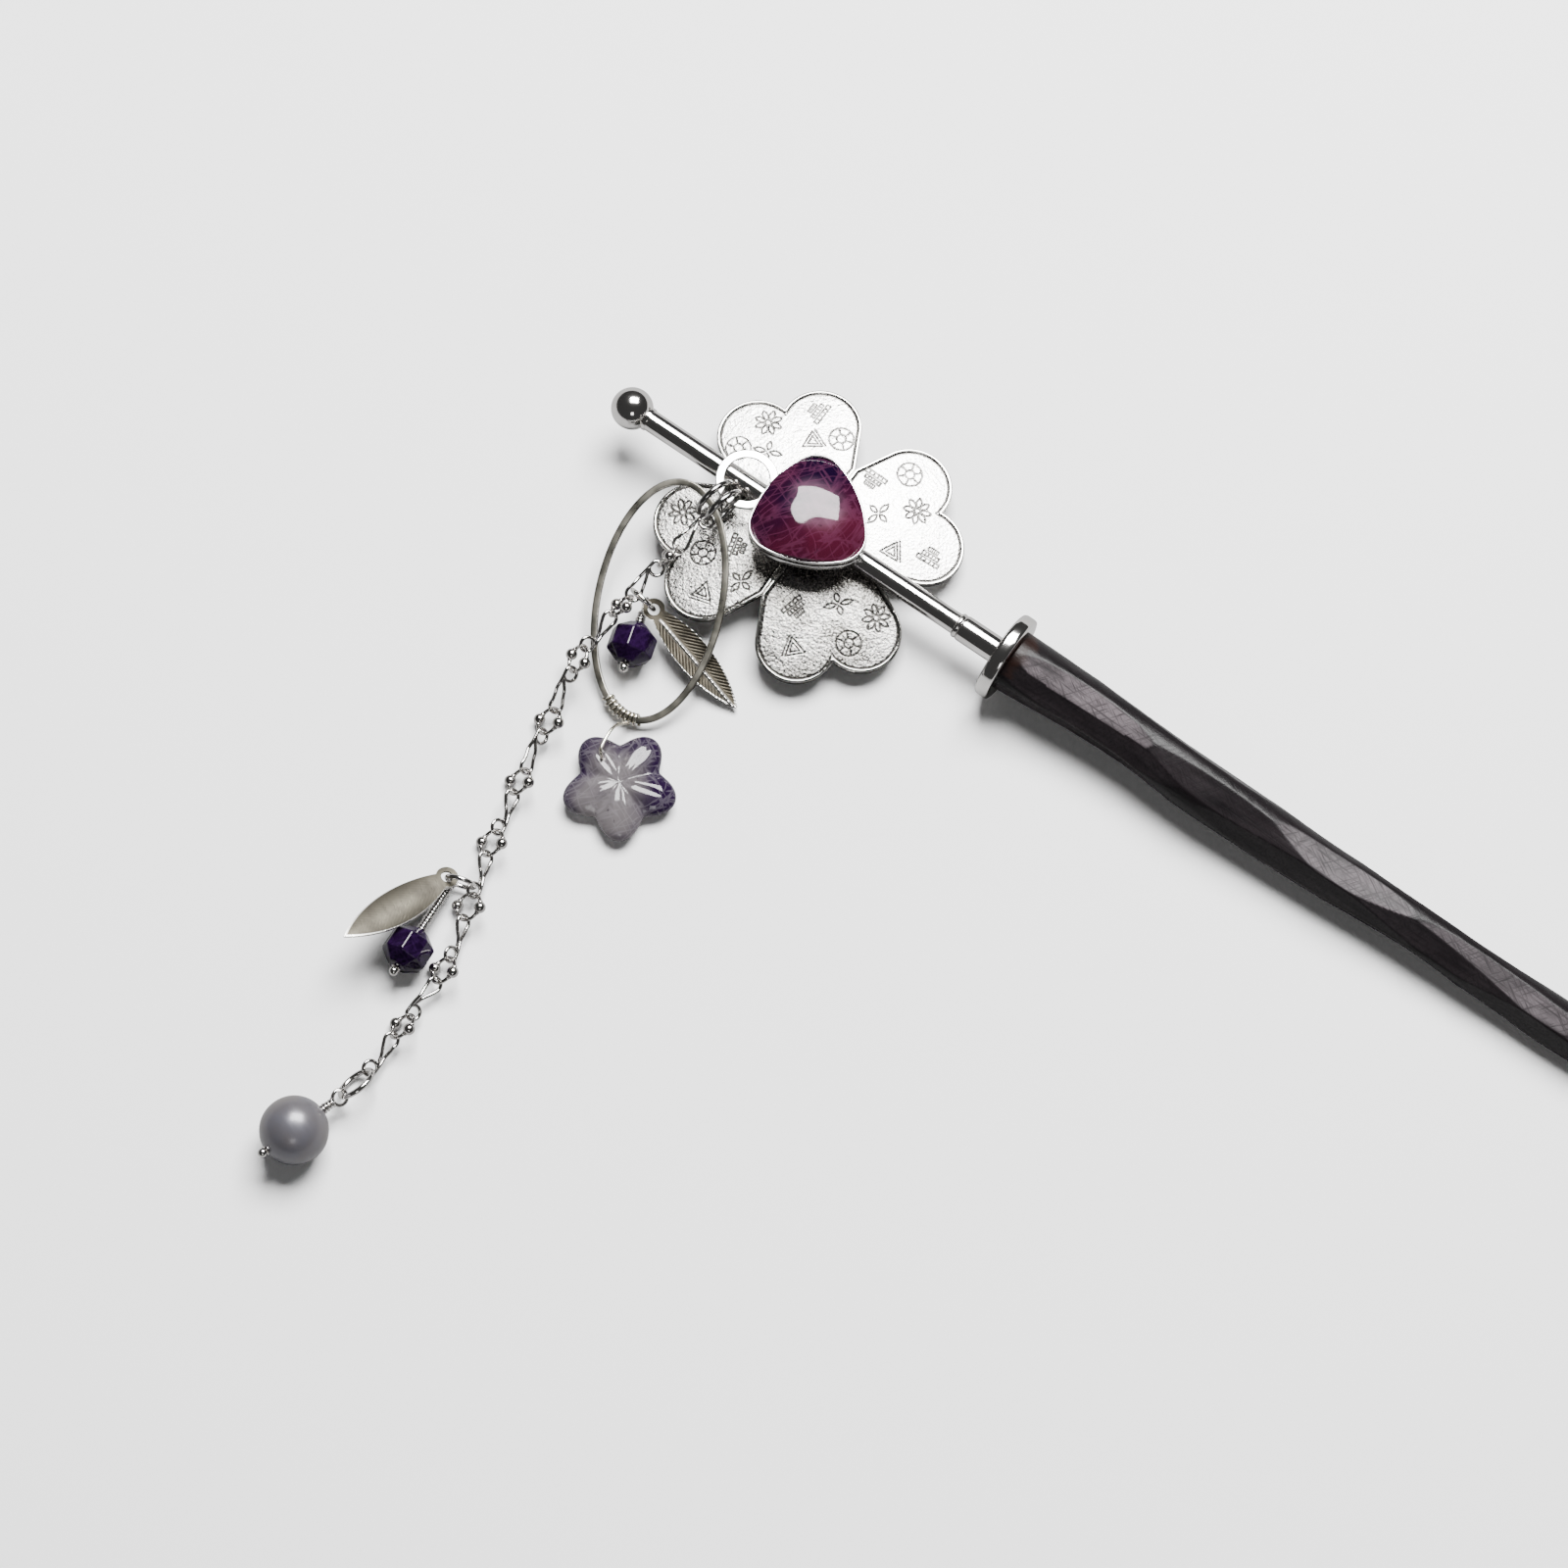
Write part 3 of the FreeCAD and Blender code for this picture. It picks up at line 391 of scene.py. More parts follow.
def noise(tree, where, scale, detail=3.0, rough=0.55):
    node = add(tree, "ShaderNodeTexNoise", Vector=where, Scale=scale, Detail=detail, Roughness=rough)
    return node.outputs["Fac"]


def here(tree):
    return tree.nodes.new("ShaderNodeTexCoord").outputs["Object"]


def mark_of(tree, name):
    node = tree.nodes.new("ShaderNodeAttribute")
    node.attribute_name = name
    return node.outputs["Fac"]


def stretched(tree, where, scale, turn=(0.0, 0.0, 0.0)):
    """A point turned and then stretched, so that a pattern runs along one of its own axes."""
    first = add(tree, "ShaderNodeMapping", Vector=where)
    first.inputs["Rotation"].default_value = turn
    second = add(tree, "ShaderNodeMapping", Vector=first.outputs[0])
    second.inputs["Scale"].default_value = scale
    return second.outputs[0]


def grown(tree, where, size):
    """A point times a number."""
    node = tree.nodes.new("ShaderNodeVectorMath")
    node.operation = "SCALE"
    tree.links.new(where, node.inputs[0])
    tree.links.new(size, node.inputs["Scale"])
    return node.outputs[0]


def handling_wear():
    """Fine scratches and smears of handled metal: a smear mask, a scratch mask and a height."""
    tree, start, end = new_group(
        "Handling wear",
        [("Where", "NodeSocketVector", None), ("Size", "NodeSocketFloat", 1.0)],
        [("Smear", "NodeSocketFloat"), ("Scratch", "NodeSocketFloat"), ("Height", "NodeSocketFloat")],
    )
    spot = grown(tree, start.outputs["Where"], start.outputs["Size"])
    smear = between(tree, noise(tree, spot, 320.0, 4.0), 0.35, 0.7)
    lines = []
    for turn, squash in (
        ((0.3, 0.2, 0.6), (160.0, 4200.0, 3000.0)),
        ((0.9, -0.4, -0.8), (3600.0, 150.0, 3200.0)),
    ):
        lines.append(between(tree, noise(tree, stretched(tree, spot, squash, turn), 1.0, 1.0), 0.62, 0.72))
    scratch = larger(tree, lines[0], lines[1])
    tree.links.new(smear, end.inputs["Smear"])
    tree.links.new(scratch, end.inputs["Scratch"])
    tree.links.new(times(tree, scratch, -1.0), end.inputs["Height"])
    return tree


def inner_clouds():
    """Cloudy depth of a natural stone or cast glass: soft clouds, thin veils and specks."""
    tree, start, end = new_group(
        "Inner clouds",
        [("Where", "NodeSocketVector", None), ("Size", "NodeSocketFloat", 1.0)],
        [("Cloud", "NodeSocketFloat"), ("Veil", "NodeSocketFloat"), ("Speck", "NodeSocketFloat")],
    )
    spot = grown(tree, start.outputs["Where"], start.outputs["Size"])
    cloud = between(tree, noise(tree, spot, 230.0, 3.0), 0.36, 0.66)
    veils = []
    for turn in ((0.2, 0.4, 0.5), (-0.5, 0.3, -0.9), (0.1, -0.7, 1.6)):
        sheet = noise(tree, stretched(tree, spot, (170.0, 1500.0, 400.0), turn), 1.0, 2.0)
        veils.append(between(tree, maths(tree, "ABSOLUTE", less(tree, sheet, 0.5)), 0.0, 0.035, 1.0, 0.0))
    veil = larger(tree, larger(tree, veils[0], veils[1]), veils[2])
    speck = between(tree, noise(tree, spot, 2300.0, 2.0), 0.66, 0.74)
    for value, label in ((cloud, "Cloud"), (veil, "Veil"), (speck, "Speck")):
        tree.links.new(value, end.inputs[label])
    return tree


def grouped(tree, group, where, size=1.0):
    node = tree.nodes.new("ShaderNodeGroup")
    node.node_tree = group
    tree.links.new(where, node.inputs["Where"])
    node.inputs["Size"].default_value = size
    return node.outputs


def started(name):
    """A material with its shader, cleared for new nodes."""
    material = bpy.data.materials.new(name)
    material.use_nodes = True
    shader = material.node_tree.nodes["Principled BSDF"]
    return material, material.node_tree, shader


def bumped(tree, shader, height, strength, distance):
    bump = add(tree, "ShaderNodeBump", Height=height, Strength=strength, Distance=distance)
    tree.links.new(bump.outputs[0], shader.inputs["Normal"])


def lit(tree, shader, **sockets):
    """Sets or links inputs of the shader by name."""
    for label, value in sockets.items():
        feed(tree, shader.inputs[label.replace("_", " ")], value)


def rgb(colour):
    return (*colour, 1.0)


FINISHES = {}


def polished_metal(name, colour, shade, rough, size=1.0, smeared=0.1):
    """Plated metal: one colour that goes a little duller in the smears, with fine scratches."""
    material, tree, shader = started(name)
    wear = grouped(tree, FINISHES["wear"], here(tree), size)
    tint = mixed(tree, times(tree, wear["Smear"], 0.5), rgb(colour), rgb(shade))
    roughness = between(tree, wear["Smear"], 0.0, 1.0, rough, rough + smeared)
    lit(tree, shader, Base_Color=tint, Metallic=1.0, Roughness=roughness)
    bumped(tree, shader, wear["Height"], 0.12, 0.5 * 0.00001)
    return material


def hammered_silver(colours):
    """Bright plated sheet with a granular ground, thin darkened stamp lines, and painted shade: a dark ground
    where marked and a near black cut edge.
    """
    material, tree, shader = started("hammered_silver")
    where = here(tree)
    wear = grouped(tree, FINISHES["wear"], where)
    grain = noise(tree, where, 3600.0, 3.0, 0.7)
    pits = add(tree, "ShaderNodeTexVoronoi", Vector=where, Scale=2600.0).outputs["Distance"]
    line = mark_of(tree, "line")
    rim = mark_of(tree, "rim")
    ground = mixed(tree, between(tree, grain, 0.35, 0.7), rgb(colours.silver_dark), rgb(colours.silver))
    # painted shade: the dark grainy tone that the shaded petals and the underside go over to
    painted_shade_tone = mixed(tree, between(tree, grain, 0.42, 0.6), rgb((0.04, 0.038, 0.034)), rgb((0.27, 0.26, 0.24)))
    ground = mixed(tree, mark_of(tree, "painted_shade"), ground, painted_shade_tone)
    # stamp lines are darkened in their hollows; the same mark paints the sheet's cut edge near black as
    # painted shade
    tint = mixed(tree, between(tree, line, 0.12, 0.6, 0.0, 0.93), ground, rgb((0.035, 0.033, 0.03)))
    tint = mixed(tree, rim, tint, rgb((0.6, 0.59, 0.56)))
    plain = less(tree, 1.0, rim, clamp=True)
    roughness = plus(tree, between(tree, grain, 0.3, 0.75, 0.16, 0.34), times(tree, rim, -0.14))
    height = plus(tree, grain, times(tree, pits, 0.55))
    height = times(tree, height, plain)
    height = plus(tree, height, times(tree, wear["Height"], 0.05))
    lit(tree, shader, Base_Color=tint, Metallic=1.0, Roughness=roughness)
    bumped(tree, shader, height, 0.6, 0.00009)
    return material


def ebony(colours):
    """Black lacquered wood: faint fibres, files' scratches both ways, and rubbed grey-mauve flats."""
    material, tree, shader = started("ebony")
    where = here(tree)
    fibre = noise(tree, stretched(tree, where, (90.0, 1800.0, 1800.0)), 1.0, 4.0)
    hatch = [
        between(tree, noise(tree, stretched(tree, where, squash, turn), 1.0, 2.0, 0.6), 0.5, 0.68)
        for turn, squash in (
            ((0.0, 0.0, 0.55), (220.0, 5200.0, 2000.0)),
            ((0.0, 0.0, -0.9), (260.0, 4700.0, 2000.0)),
            ((0.0, 0.0, 0.05), (120.0, 3900.0, 2600.0)),
        )
    ]
    scratch = larger(tree, larger(tree, hatch[0], hatch[1]), hatch[2])
    patch = between(tree, noise(tree, where, 150.0, 4.0), 0.38, 0.62)
    flat = times(tree, mark_of(tree, "flat"), between(tree, patch, 0.0, 1.0, 0.6, 1.0))
    tint = mixed(tree, between(tree, fibre, 0.3, 0.75), rgb(colours.ebony), rgb(colours.ebony_fibre))
    worn = mixed(tree, times(tree, scratch, 0.85), rgb(colours.ebony_flat), rgb((0.02, 0.017, 0.018)))
    tint = mixed(tree, flat, tint, worn)
    tint = mixed(tree, times(tree, mark_of(tree, "bare"), 0.45), tint, rgb((0.018, 0.007, 0.004)))
    roughness = plus(tree, between(tree, flat, 0.0, 1.0, 0.3, 0.55), times(tree, scratch, 0.12))
    lit(tree, shader, Base_Color=tint, Roughness=roughness, Specular_IOR_Level=0.12)
    lit(tree, shader, Coat_Weight=0.04, Coat_Roughness=0.22)
    height = less(tree, times(tree, fibre, 0.25), times(tree, scratch, 0.5))
    bumped(tree, shader, height, 0.35, 0.00006)
    return material


def coloured_glass(name, deep, light, through, clouds, size, veil_colour, veiled):
    """Stone or glass with clouds of two colours, pale veils and dark specks under a clear surface, and a
    painted pinkish highlight where marked.
    """
    material, tree, shader = started(name)
    inside = grouped(tree, FINISHES["clouds"], here(tree), size)
    zone = mark_of(tree, "zone")
    drift = times(tree, less(tree, inside["Cloud"], 0.5), clouds)
    amount = plus(tree, zone, drift, clamp=True)
    tint = mixed(tree, amount, rgb(deep), rgb(light))
    tint = mixed(tree, times(tree, inside["Veil"], veiled), tint, rgb(veil_colour))
    # painted highlight: a pinkish patch where the lamp is mirrored in the stone's table
    tint = mixed(tree, times(tree, mark_of(tree, "painted_highlight"), 0.4), tint, rgb((0.42, 0.22, 0.31)))
    tint = mixed(tree, times(tree, inside["Speck"], 0.6), tint, rgb([c * 0.25 for c in deep]))
    lit(tree, shader, Base_Color=tint, Roughness=0.05, Transmission_Weight=through, IOR=1.54)
    lit(tree, shader, Coat_Weight=0.05, Coat_Roughness=0.03, Specular_IOR_Level=0.25)
    bumped(tree, shader, inside["Cloud"], 0.05, 0.00003)
    return material


def leaf_metal(name, colour, shade, rough, lined):
    """Leaf sheet: satin metal with darkened cut veins and bright raised lines."""
    material, tree, shader = started(name)
    where = here(tree)
    wear = grouped(tree, FINISHES["wear"], where, 1.4)
    blotch = between(tree, noise(tree, where, 420.0, 4.0), 0.35, 0.7)
    vein = mark_of(tree, "vein")
    bright = mark_of(tree, "bright")
    tint = mixed(tree, blotch, rgb(colour), rgb(shade))
    tint = mixed(tree, times(tree, vein, lined), tint, rgb([c * 0.3 for c in shade]))
    tint = mixed(tree, bright, tint, rgb((0.86, 0.84, 0.8)))
    roughness = plus(tree, between(tree, blotch, 0.0, 1.0, rough, rough + 0.12), times(tree, bright, -0.2))
    grain = noise(tree, where, 5200.0, 2.0)
    height = plus(tree, times(tree, grain, 0.3), wear["Height"])
    lit(tree, shader, Base_Color=tint, Metallic=1.0, Roughness=roughness)
    bumped(tree, shader, height, 0.3, 0.00003)
    return material


def grey_pearl(colours):
    """Nacre: grey with a bluish and rosy drift, faint growth lines and a soft thick lustre."""
    material, tree, shader = started("grey_pearl")
    where = here(tree)
    drift = between(tree, noise(tree, where, 120.0, 3.0), 0.35, 0.65)
    lines = noise(tree, stretched(tree, where, (300.0, 1400.0, 300.0), (0.3, 0.5, 0.4)), 1.0, 3.0)
    tint = mixed(tree, drift, rgb(colours.pearl), rgb(colours.pearl_blue))
    lit(tree, shader, Base_Color=tint, Metallic=0.4, Roughness=between(tree, lines, 0.3, 0.7, 0.3, 0.38))
    lit(tree, shader, Coat_Weight=0.35, Coat_Roughness=0.16, Specular_IOR_Level=0.6)
    bumped(tree, shader, lines, 0.06, 0.00004)
    return material


def hoop_metal(colours):
    """Darkened strip whose rounded edges are rubbed bright."""
    material, tree, shader = started("gunmetal")
    where = here(tree)
    wear = grouped(tree, FINISHES["wear"], where, 1.2)
    edge = mark_of(tree, "edge")
    tint = mixed(tree, edge, rgb(colours.gunmetal), rgb((0.88, 0.86, 0.8)))
    tint = mixed(tree, times(tree, wear["Smear"], 0.25), tint, rgb((0.5, 0.47, 0.4)))
    roughness = plus(tree, between(tree, wear["Smear"], 0.0, 1.0, 0.26, 0.4), times(tree, edge, -0.12))
    lit(tree, shader, Base_Color=tint, Metallic=1.0, Roughness=roughness)
    bumped(tree, shader, wear["Height"], 0.15, 0.00001)
    return material


def make_finishes():
    """All finishes, once, from the colours in the sidebar."""
    c = bpy.context.scene.hair_pin_colours
    FINISHES["wear"] = handling_wear()
    FINISHES["clouds"] = inner_clouds()
    for name, *look in (
        ("nickel", c.nickel, c.nickel_shade, 0.07, 1.0, 0.09),
        ("ring_nickel", (0.42, 0.41, 0.4), (0.14, 0.135, 0.13), 0.12),
        ("dark_wire", (0.34, 0.33, 0.32), (0.12, 0.12, 0.12), 0.25),
        ("chain_wire", (0.6, 0.58, 0.56), (0.25, 0.24, 0.235), 0.1, 2.0),
        ("champagne_wire", c.champagne, (0.55, 0.5, 0.4), 0.16, 2.0),
        ("silver_bezel", (0.9, 0.89, 0.88), (0.62, 0.6, 0.6), 0.08),
    ):
        FINISHES[name] = polished_metal(name, *look)
    FINISHES["hammered_silver"] = hammered_silver(c)
    FINISHES["ebony"] = ebony(c)
    FINISHES["gunmetal"] = hoop_metal(c)
    for name, *look in (
        ("amethyst", c.amethyst_deep, c.amethyst_light, 0.2, 0.7, 0.45, (0.15, 0.04, 0.09), 0.28),
        ("lilac_glass", c.lilac_deep, c.lilac_light, 0.28, 0.9, 0.5, (0.26, 0.24, 0.26), 0.25),
        ("purple_glass", c.bead_deep, c.bead_light, 0.15, 0.7, 0.8, (0.05, 0.015, 0.09), 0.2),
    ):
        FINISHES[name] = coloured_glass(name, *look)
    for name, *look in (
        ("antiqued_leaf", (0.042, 0.037, 0.028), (0.022, 0.02, 0.016), 0.34, 0.9),
        ("satin_leaf", (0.075, 0.069, 0.054), (0.055, 0.05, 0.041), 0.42, 0.25),
    ):
        FINISHES[name] = leaf_metal(name, *look)
    FINISHES["grey_pearl"] = grey_pearl(c)


# --- sizes and colours that a user would change ---------------------------------------------------


def length(label, what, default):
    """A length in metres whose default is given in millimetres."""
    return FloatProperty(
        name=label, description=what, default=default * MM, min=0.0, unit="LENGTH", precision=5
    )


def colour(label, what, default):
    return FloatVectorProperty(
        name=label, description=what, default=default, size=3, min=0.0, max=1.0, subtype="COLOR"
    )


def amount(label, what, default, least=0.0):
    """A plain number."""
    return FloatProperty(name=label, description=what, default=default, min=least)


def how_many(label, what, default, least):
    """A whole number."""
    return IntProperty(name=label, description=what, default=default, min=least)


class HairPinSizes(bpy.types.PropertyGroup):
    """Sizes of details that the frame leaves plain."""

    root_radius: length("Stick root radius", "Radius of the wood at the flange", 4.05)
    tip_radius: length("Stick tip radius", "Radius of the wood's rounded tip", 1.2)
    petal_reach: length("Petal reach", "From the clover's centre to the middle of a petal's lobes", 13.7)
    petal_spread: length("Petal spread", "From a petal's middle line to the middle of a lobe", 4.0)
    petal_lobe: length("Petal lobe", "Radius of a petal's lobes", 5.1)
    petal_root: length("Petal root", "Half the width that a petal's flanks run in to", 4.7)
    petal_rim: length("Petal rim", "Width of the raised rim round a petal", 0.36)
    stamp_depth: length("Stamp depth", "Depth of the stamped lines on the petals", 0.07)
    chain_wire: length("Chain wire", "Radius of the chain's wire", 0.225)
    wrap_wire: length("Wrap wire", "Radius of the wire wound on the hoop", 0.21)
    wrap_turns: how_many("Wrap turns", "Turns of wire on the hoop's low end", 8, 3)
    bead_facets: how_many("Bead facets", "Facets round a barrel bead", 8, 5)


class HairPinColours(bpy.types.PropertyGroup):
    """Base colours of the finishes."""

    ebony: colour("Ebony", "Lacquered wood", (0.003, 0.0025, 0.003))
    ebony_fibre: colour("Ebony fibre", "Lighter fibres in the wood", (0.008, 0.006, 0.007))
    ebony_flat: colour("Ebony flat", "Rubbed flats of the carving", (0.105, 0.088, 0.096))
    nickel: colour("Nickel", "Polished plating", (0.83, 0.81, 0.79))
    nickel_shade: colour("Nickel shade", "Dulled plating", (0.52, 0.5, 0.48))
    silver: colour("Silver", "Bright ground of the petals", (0.88, 0.87, 0.85))
    silver_dark: colour("Silver dark", "Dark grain of the petals", (0.5, 0.49, 0.47))
    gunmetal: colour("Gunmetal", "Face of the hoop", (0.14, 0.135, 0.115))
    champagne: colour("Champagne wire", "Wound wire", (0.86, 0.82, 0.72))
    amethyst_deep: colour("Amethyst deep", "Dark side of the stone", (0.005, 0.0007, 0.011))
    amethyst_light: colour("Amethyst light", "Wine red side of the stone", (0.05, 0.005, 0.016))
    lilac_deep: colour("Lilac deep", "Purple zones of the flower", (0.014, 0.005, 0.026))
    lilac_light: colour("Lilac light", "Clear zones of the flower", (0.13, 0.117, 0.122))
    bead_deep: colour("Bead deep", "Dark of the barrel beads", (0.002, 0.0005, 0.005))
    bead_light: colour("Bead light", "Lit purple of the barrel beads", (0.009, 0.0015, 0.018))
    pearl: colour("Pearl", "Grey of the pearl", (0.105, 0.092, 0.086))
    pearl_blue: colour("Pearl blue", "Bluish drift of the pearl", (0.1, 0.1, 0.122))


class HairPinStage(bpy.types.PropertyGroup):
    """The floor, the lamp and the camera."""

    floor_colour: colour("Floor", "Colour of the floor", (0.93, 0.93, 0.93))
    lamp_power: amount("Lamp", "Power of the soft lamp in watts", 20.0)
    fill_power: amount("Fill", "Power of the low fill lamp in watts", 0.5)
    surroundings: amount("Surroundings", "Brightness of the room", 0.05)
    camera_distance: length("Camera distance", "From the camera to the middle of the view", 533.0)
    lens: amount("Lens", "Focal length in millimetres", 100.0, 10.0)


# --- the head of the pin --------------------------------------------------------------------------


def pin_axes():
    """The rod's direction towards the tip, the direction across it and the one that points up from it."""
    _, axes = lie_of("head_rod")
    along = axes[0] * np.sign(axes[0][0])
    across = unit(np.cross([0, 0, 1], along))
    return along, across, np.cross(along, across)


ALONG, ACROSS, ABOVE = pin_axes()
PIN = np.array([ALONG, ACROSS, ABOVE])

# width of the stick: (distance from the flange, diameter, sideways shift), in millimetres
STICK_WIDTHS = np.array([
    (0, 8.0, 0.0), (5, 7.8, 0.1), (10, 7.4, 0.26), (18, 7.2, 0.4), (28, 7.5, 0.0), (37, 7.0, -0.2),
    (46, 6.7, -0.36), (60, 6.1, 0.2), (72, 6.0, 0.0), (80, 6.25, -0.2), (99, 5.2, 0.1), (112, 4.0, 0.0),
    (118, 2.8, 0.0), (120, 1.9, 0.0),
])

# flats cut into the stick, in millimetres and degrees:
# (middle, length, angle from straight up, depth, how rubbed)
STICK_FLATS = (
    (11, 21, -9, 0.5, 1.0), (31, 26, -18, 0.42, 0.14), (48, 21, 4, 0.5, 1.0), (62, 24, -34, 0.45, 0.1),
    (73, 32, -6, 0.36, 0.7), (90, 26, -16, 0.45, 0.6), (106, 26, 8, 0.5, 0.5),
    (12, 30, -42, 0.5, 0.1), (24, 30, 68, 0.55, 0.1), (44, 34, -62, 0.6, 0.1), (62, 30, 78, 0.5, 0.1),
    (80, 30, -70, 0.5, 0.1), (100, 34, 64, 0.5, 0.1), (14, 34, 110, 0.55, 0.3), (36, 30, 150, 0.5, 0.3),
    (54, 30, 118, 0.5, 0.3), (74, 30, 158, 0.5, 0.3), (94, 34, 122, 0.5, 0.3), (10, 30, -96, 0.55, 0.3),
    (32, 34, -128, 0.5, 0.3), (52, 30, -104, 0.5, 0.3), (70, 34, -140, 0.5, 0.3), (92, 34, -100, 0.5, 0.3),
    (8, 26, 178, 0.4, 0.3), (110, 24, -165, 0.4, 0.3),
)


# where the stick's rounded tip starts, how long it is, and the root radius that the widths are for
TIP_START, TIP_LONG, ROOT_DRAWN = 119.8, 1.2, 4.05


def make_stick():
    """The stick: a round tapering bar cut back by flats.

    At each point the radius is the least of the bar's own radius and, for each flat, the distance to its
    plane divided by the cosine of the angle from the plane's normal. The plane rises away from the flat's
    middle as the square of the distance, which gives lens-shaped flats that run out at both ends.
    """
    sizes = bpy.context.scene.hair_pin_sizes
    tip = TIP_START + TIP_LONG * np.sin(np.linspace(0.1, 1.5, 9))
    x = np.concatenate([np.linspace(0.02, TIP_START, 620), tip])
    turn = np.linspace(0, TAU, 140, endpoint=False)
    half = np.interp(x, STICK_WIDTHS[:, 0], STICK_WIDTHS[:, 1]) / 2 * (sizes.root_radius / MM / ROOT_DRAWN)
    shift = np.interp(x, STICK_WIDTHS[:, 0], STICK_WIDTHS[:, 2])
    smooth = np.ones(25) / 25
    half = np.convolve(np.pad(half, 12, "edge"), smooth, "valid")
    shift = np.convolve(np.pad(shift, 12, "edge"), smooth, "valid")
    tip = np.clip((x - TIP_START) / TIP_LONG, 0, 1)
    half = np.where(x > TIP_START, sizes.tip_radius / MM * np.sqrt(1 - tip**2) * 0.98, np.maximum(half, 1.18))
    swell = 1 + 0.015 * np.sin(x[:, None] * 0.21 + 2 * turn[None])
    radius = half[:, None] * swell
    flat = np.zeros_like(radius)
    for middle, long, angle, depth, rubbed in STICK_FLATS:
        away = (x[:, None] - middle) / (long / 2)
        off = turn[None] - math.radians(angle) + 0.012 * (x[:, None] - middle) / 4
        facing = np.maximum(np.cos(off), 0.2)
        plane = (half[:, None] - depth + depth * 1.1 * away**2) / facing
        gap = radius - plane
        flat = np.where(gap > 0.0, rubbed * np.clip(gap / 0.08, 0, 1), flat)
        radius = radius - 0.5 * (gap + np.sqrt(gap**2 + 0.0006)) * (np.abs(away) < 1.1)
    run = np.broadcast_to(x[:, None], radius.shape)
    points = np.stack([run, radius * np.sin(turn), radius * np.cos(turn)], -1)
    ragged = cell_noise(points * 0.35, 4, 3)
    radius = radius + 0.02 * ragged
    flat = flat * np.clip(0.75 + 0.5 * cell_noise(points * np.array([0.12, 0.5, 0.5]), 9, 3), 0, 1)
    bare = np.clip(1.4 - np.abs(x[:, None] - 0.6 - 0.8 * ragged) / 1.1, 0, 1)
    bare = bare * (np.cos(turn - 0.5)[None] > 0.2)
    y = radius * np.sin(turn) + shift[:, None]
    points = np.stack([run, y, radius * np.cos(turn)], -1) * MM
    surface = skin(placed(points, (0, 0, 0), PIN))
    marks = {"flat": with_poles(flat), "bare": with_poles(bare)}
    finish_mesh("stick", surface, "ebony", "pin", "hair_stick", marks=marks)


def make_head():
    """The flange, sleeve, rod and ball: rounded profiles spun round the pin's axis."""
    origin = np.zeros(3)
    flange = [(0, 1.42), (0, 5.2), (-0.15, 5.62), (-0.55, 5.7), (-1.45, 5.7), (-1.82, 5.55), (-2.0, 5.1),
              (-2.0, 3.0), (-1.94, 2.85), (-1.94, 1.42)]
    profile = rounded(flange + [flange[0]], 5)[:-1]
    surface = turned_solid(profile * MM, origin, ALONG, 120, closed=True)
    finish_mesh("flange", surface, "nickel", "pin", "stick_flange", sharp=50)
    sleeve = [(-2.02, 1.42), (-2.02, 1.68), (-2.3, 1.7), (-7.2, 1.7), (-7.42, 1.66), (-7.55, 1.55),
              (-7.75, 1.64), (-8.0, 1.66), (-8.18, 1.52), (-8.2, 1.42)]
    profile = rounded(sleeve + [sleeve[0]], 4)[:-1]
    surface = turned_solid(profile * MM, origin, ALONG, 72, closed=True)
    finish_mesh("sleeve", surface, "nickel", "pin", "rod_sleeve", sharp=50)
    x = np.linspace(-55.4, 13.9, 90)
    radius = 1.372 * (1 - 0.008 * (0.5 + 0.5 * np.sin(x * 1.7)) * (np.sin(x * 0.37) > 0.3))
    profile = np.stack([x, radius], 1)
    surface = turned_solid(profile * MM, origin, ALONG, 56)
    finish_mesh("rod", surface, "nickel", "pin", "head_rod", sharp=50)
    angle = np.linspace(0.02, math.pi - 0.52, 44)
    body = np.stack([-np.cos(angle), np.sin(angle)], 1) * 2.65
    neck = np.array([(2.36, 1.52), (2.72, 1.5), (2.74, 1.395)])
    profile = np.vstack([body, neck]) + [-57.0, 0]
    surface = turned_solid(profile * MM, origin, ALONG, 96)
    finish_mesh("ball", surface, "nickel", "pin", "ball_finial", sharp=60)


# --- the clover -----------------------------------------------------------------------------------


def clover_place():
    """The clover's centre on the pin's axis, worked from the middle of its node."""
    low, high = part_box("clover_plate")
    middle = (np.array(low) + np.array(high)) / 2
    return ALONG * (middle @ ALONG)


def arc(centre, radius, start, stop, count):
    """Points on a circle between two angles in degrees."""
    angle = np.radians(np.linspace(start, stop, count))
    return np.stack([centre[0] + radius * np.cos(angle), centre[1] + radius * np.sin(angle)], 1)


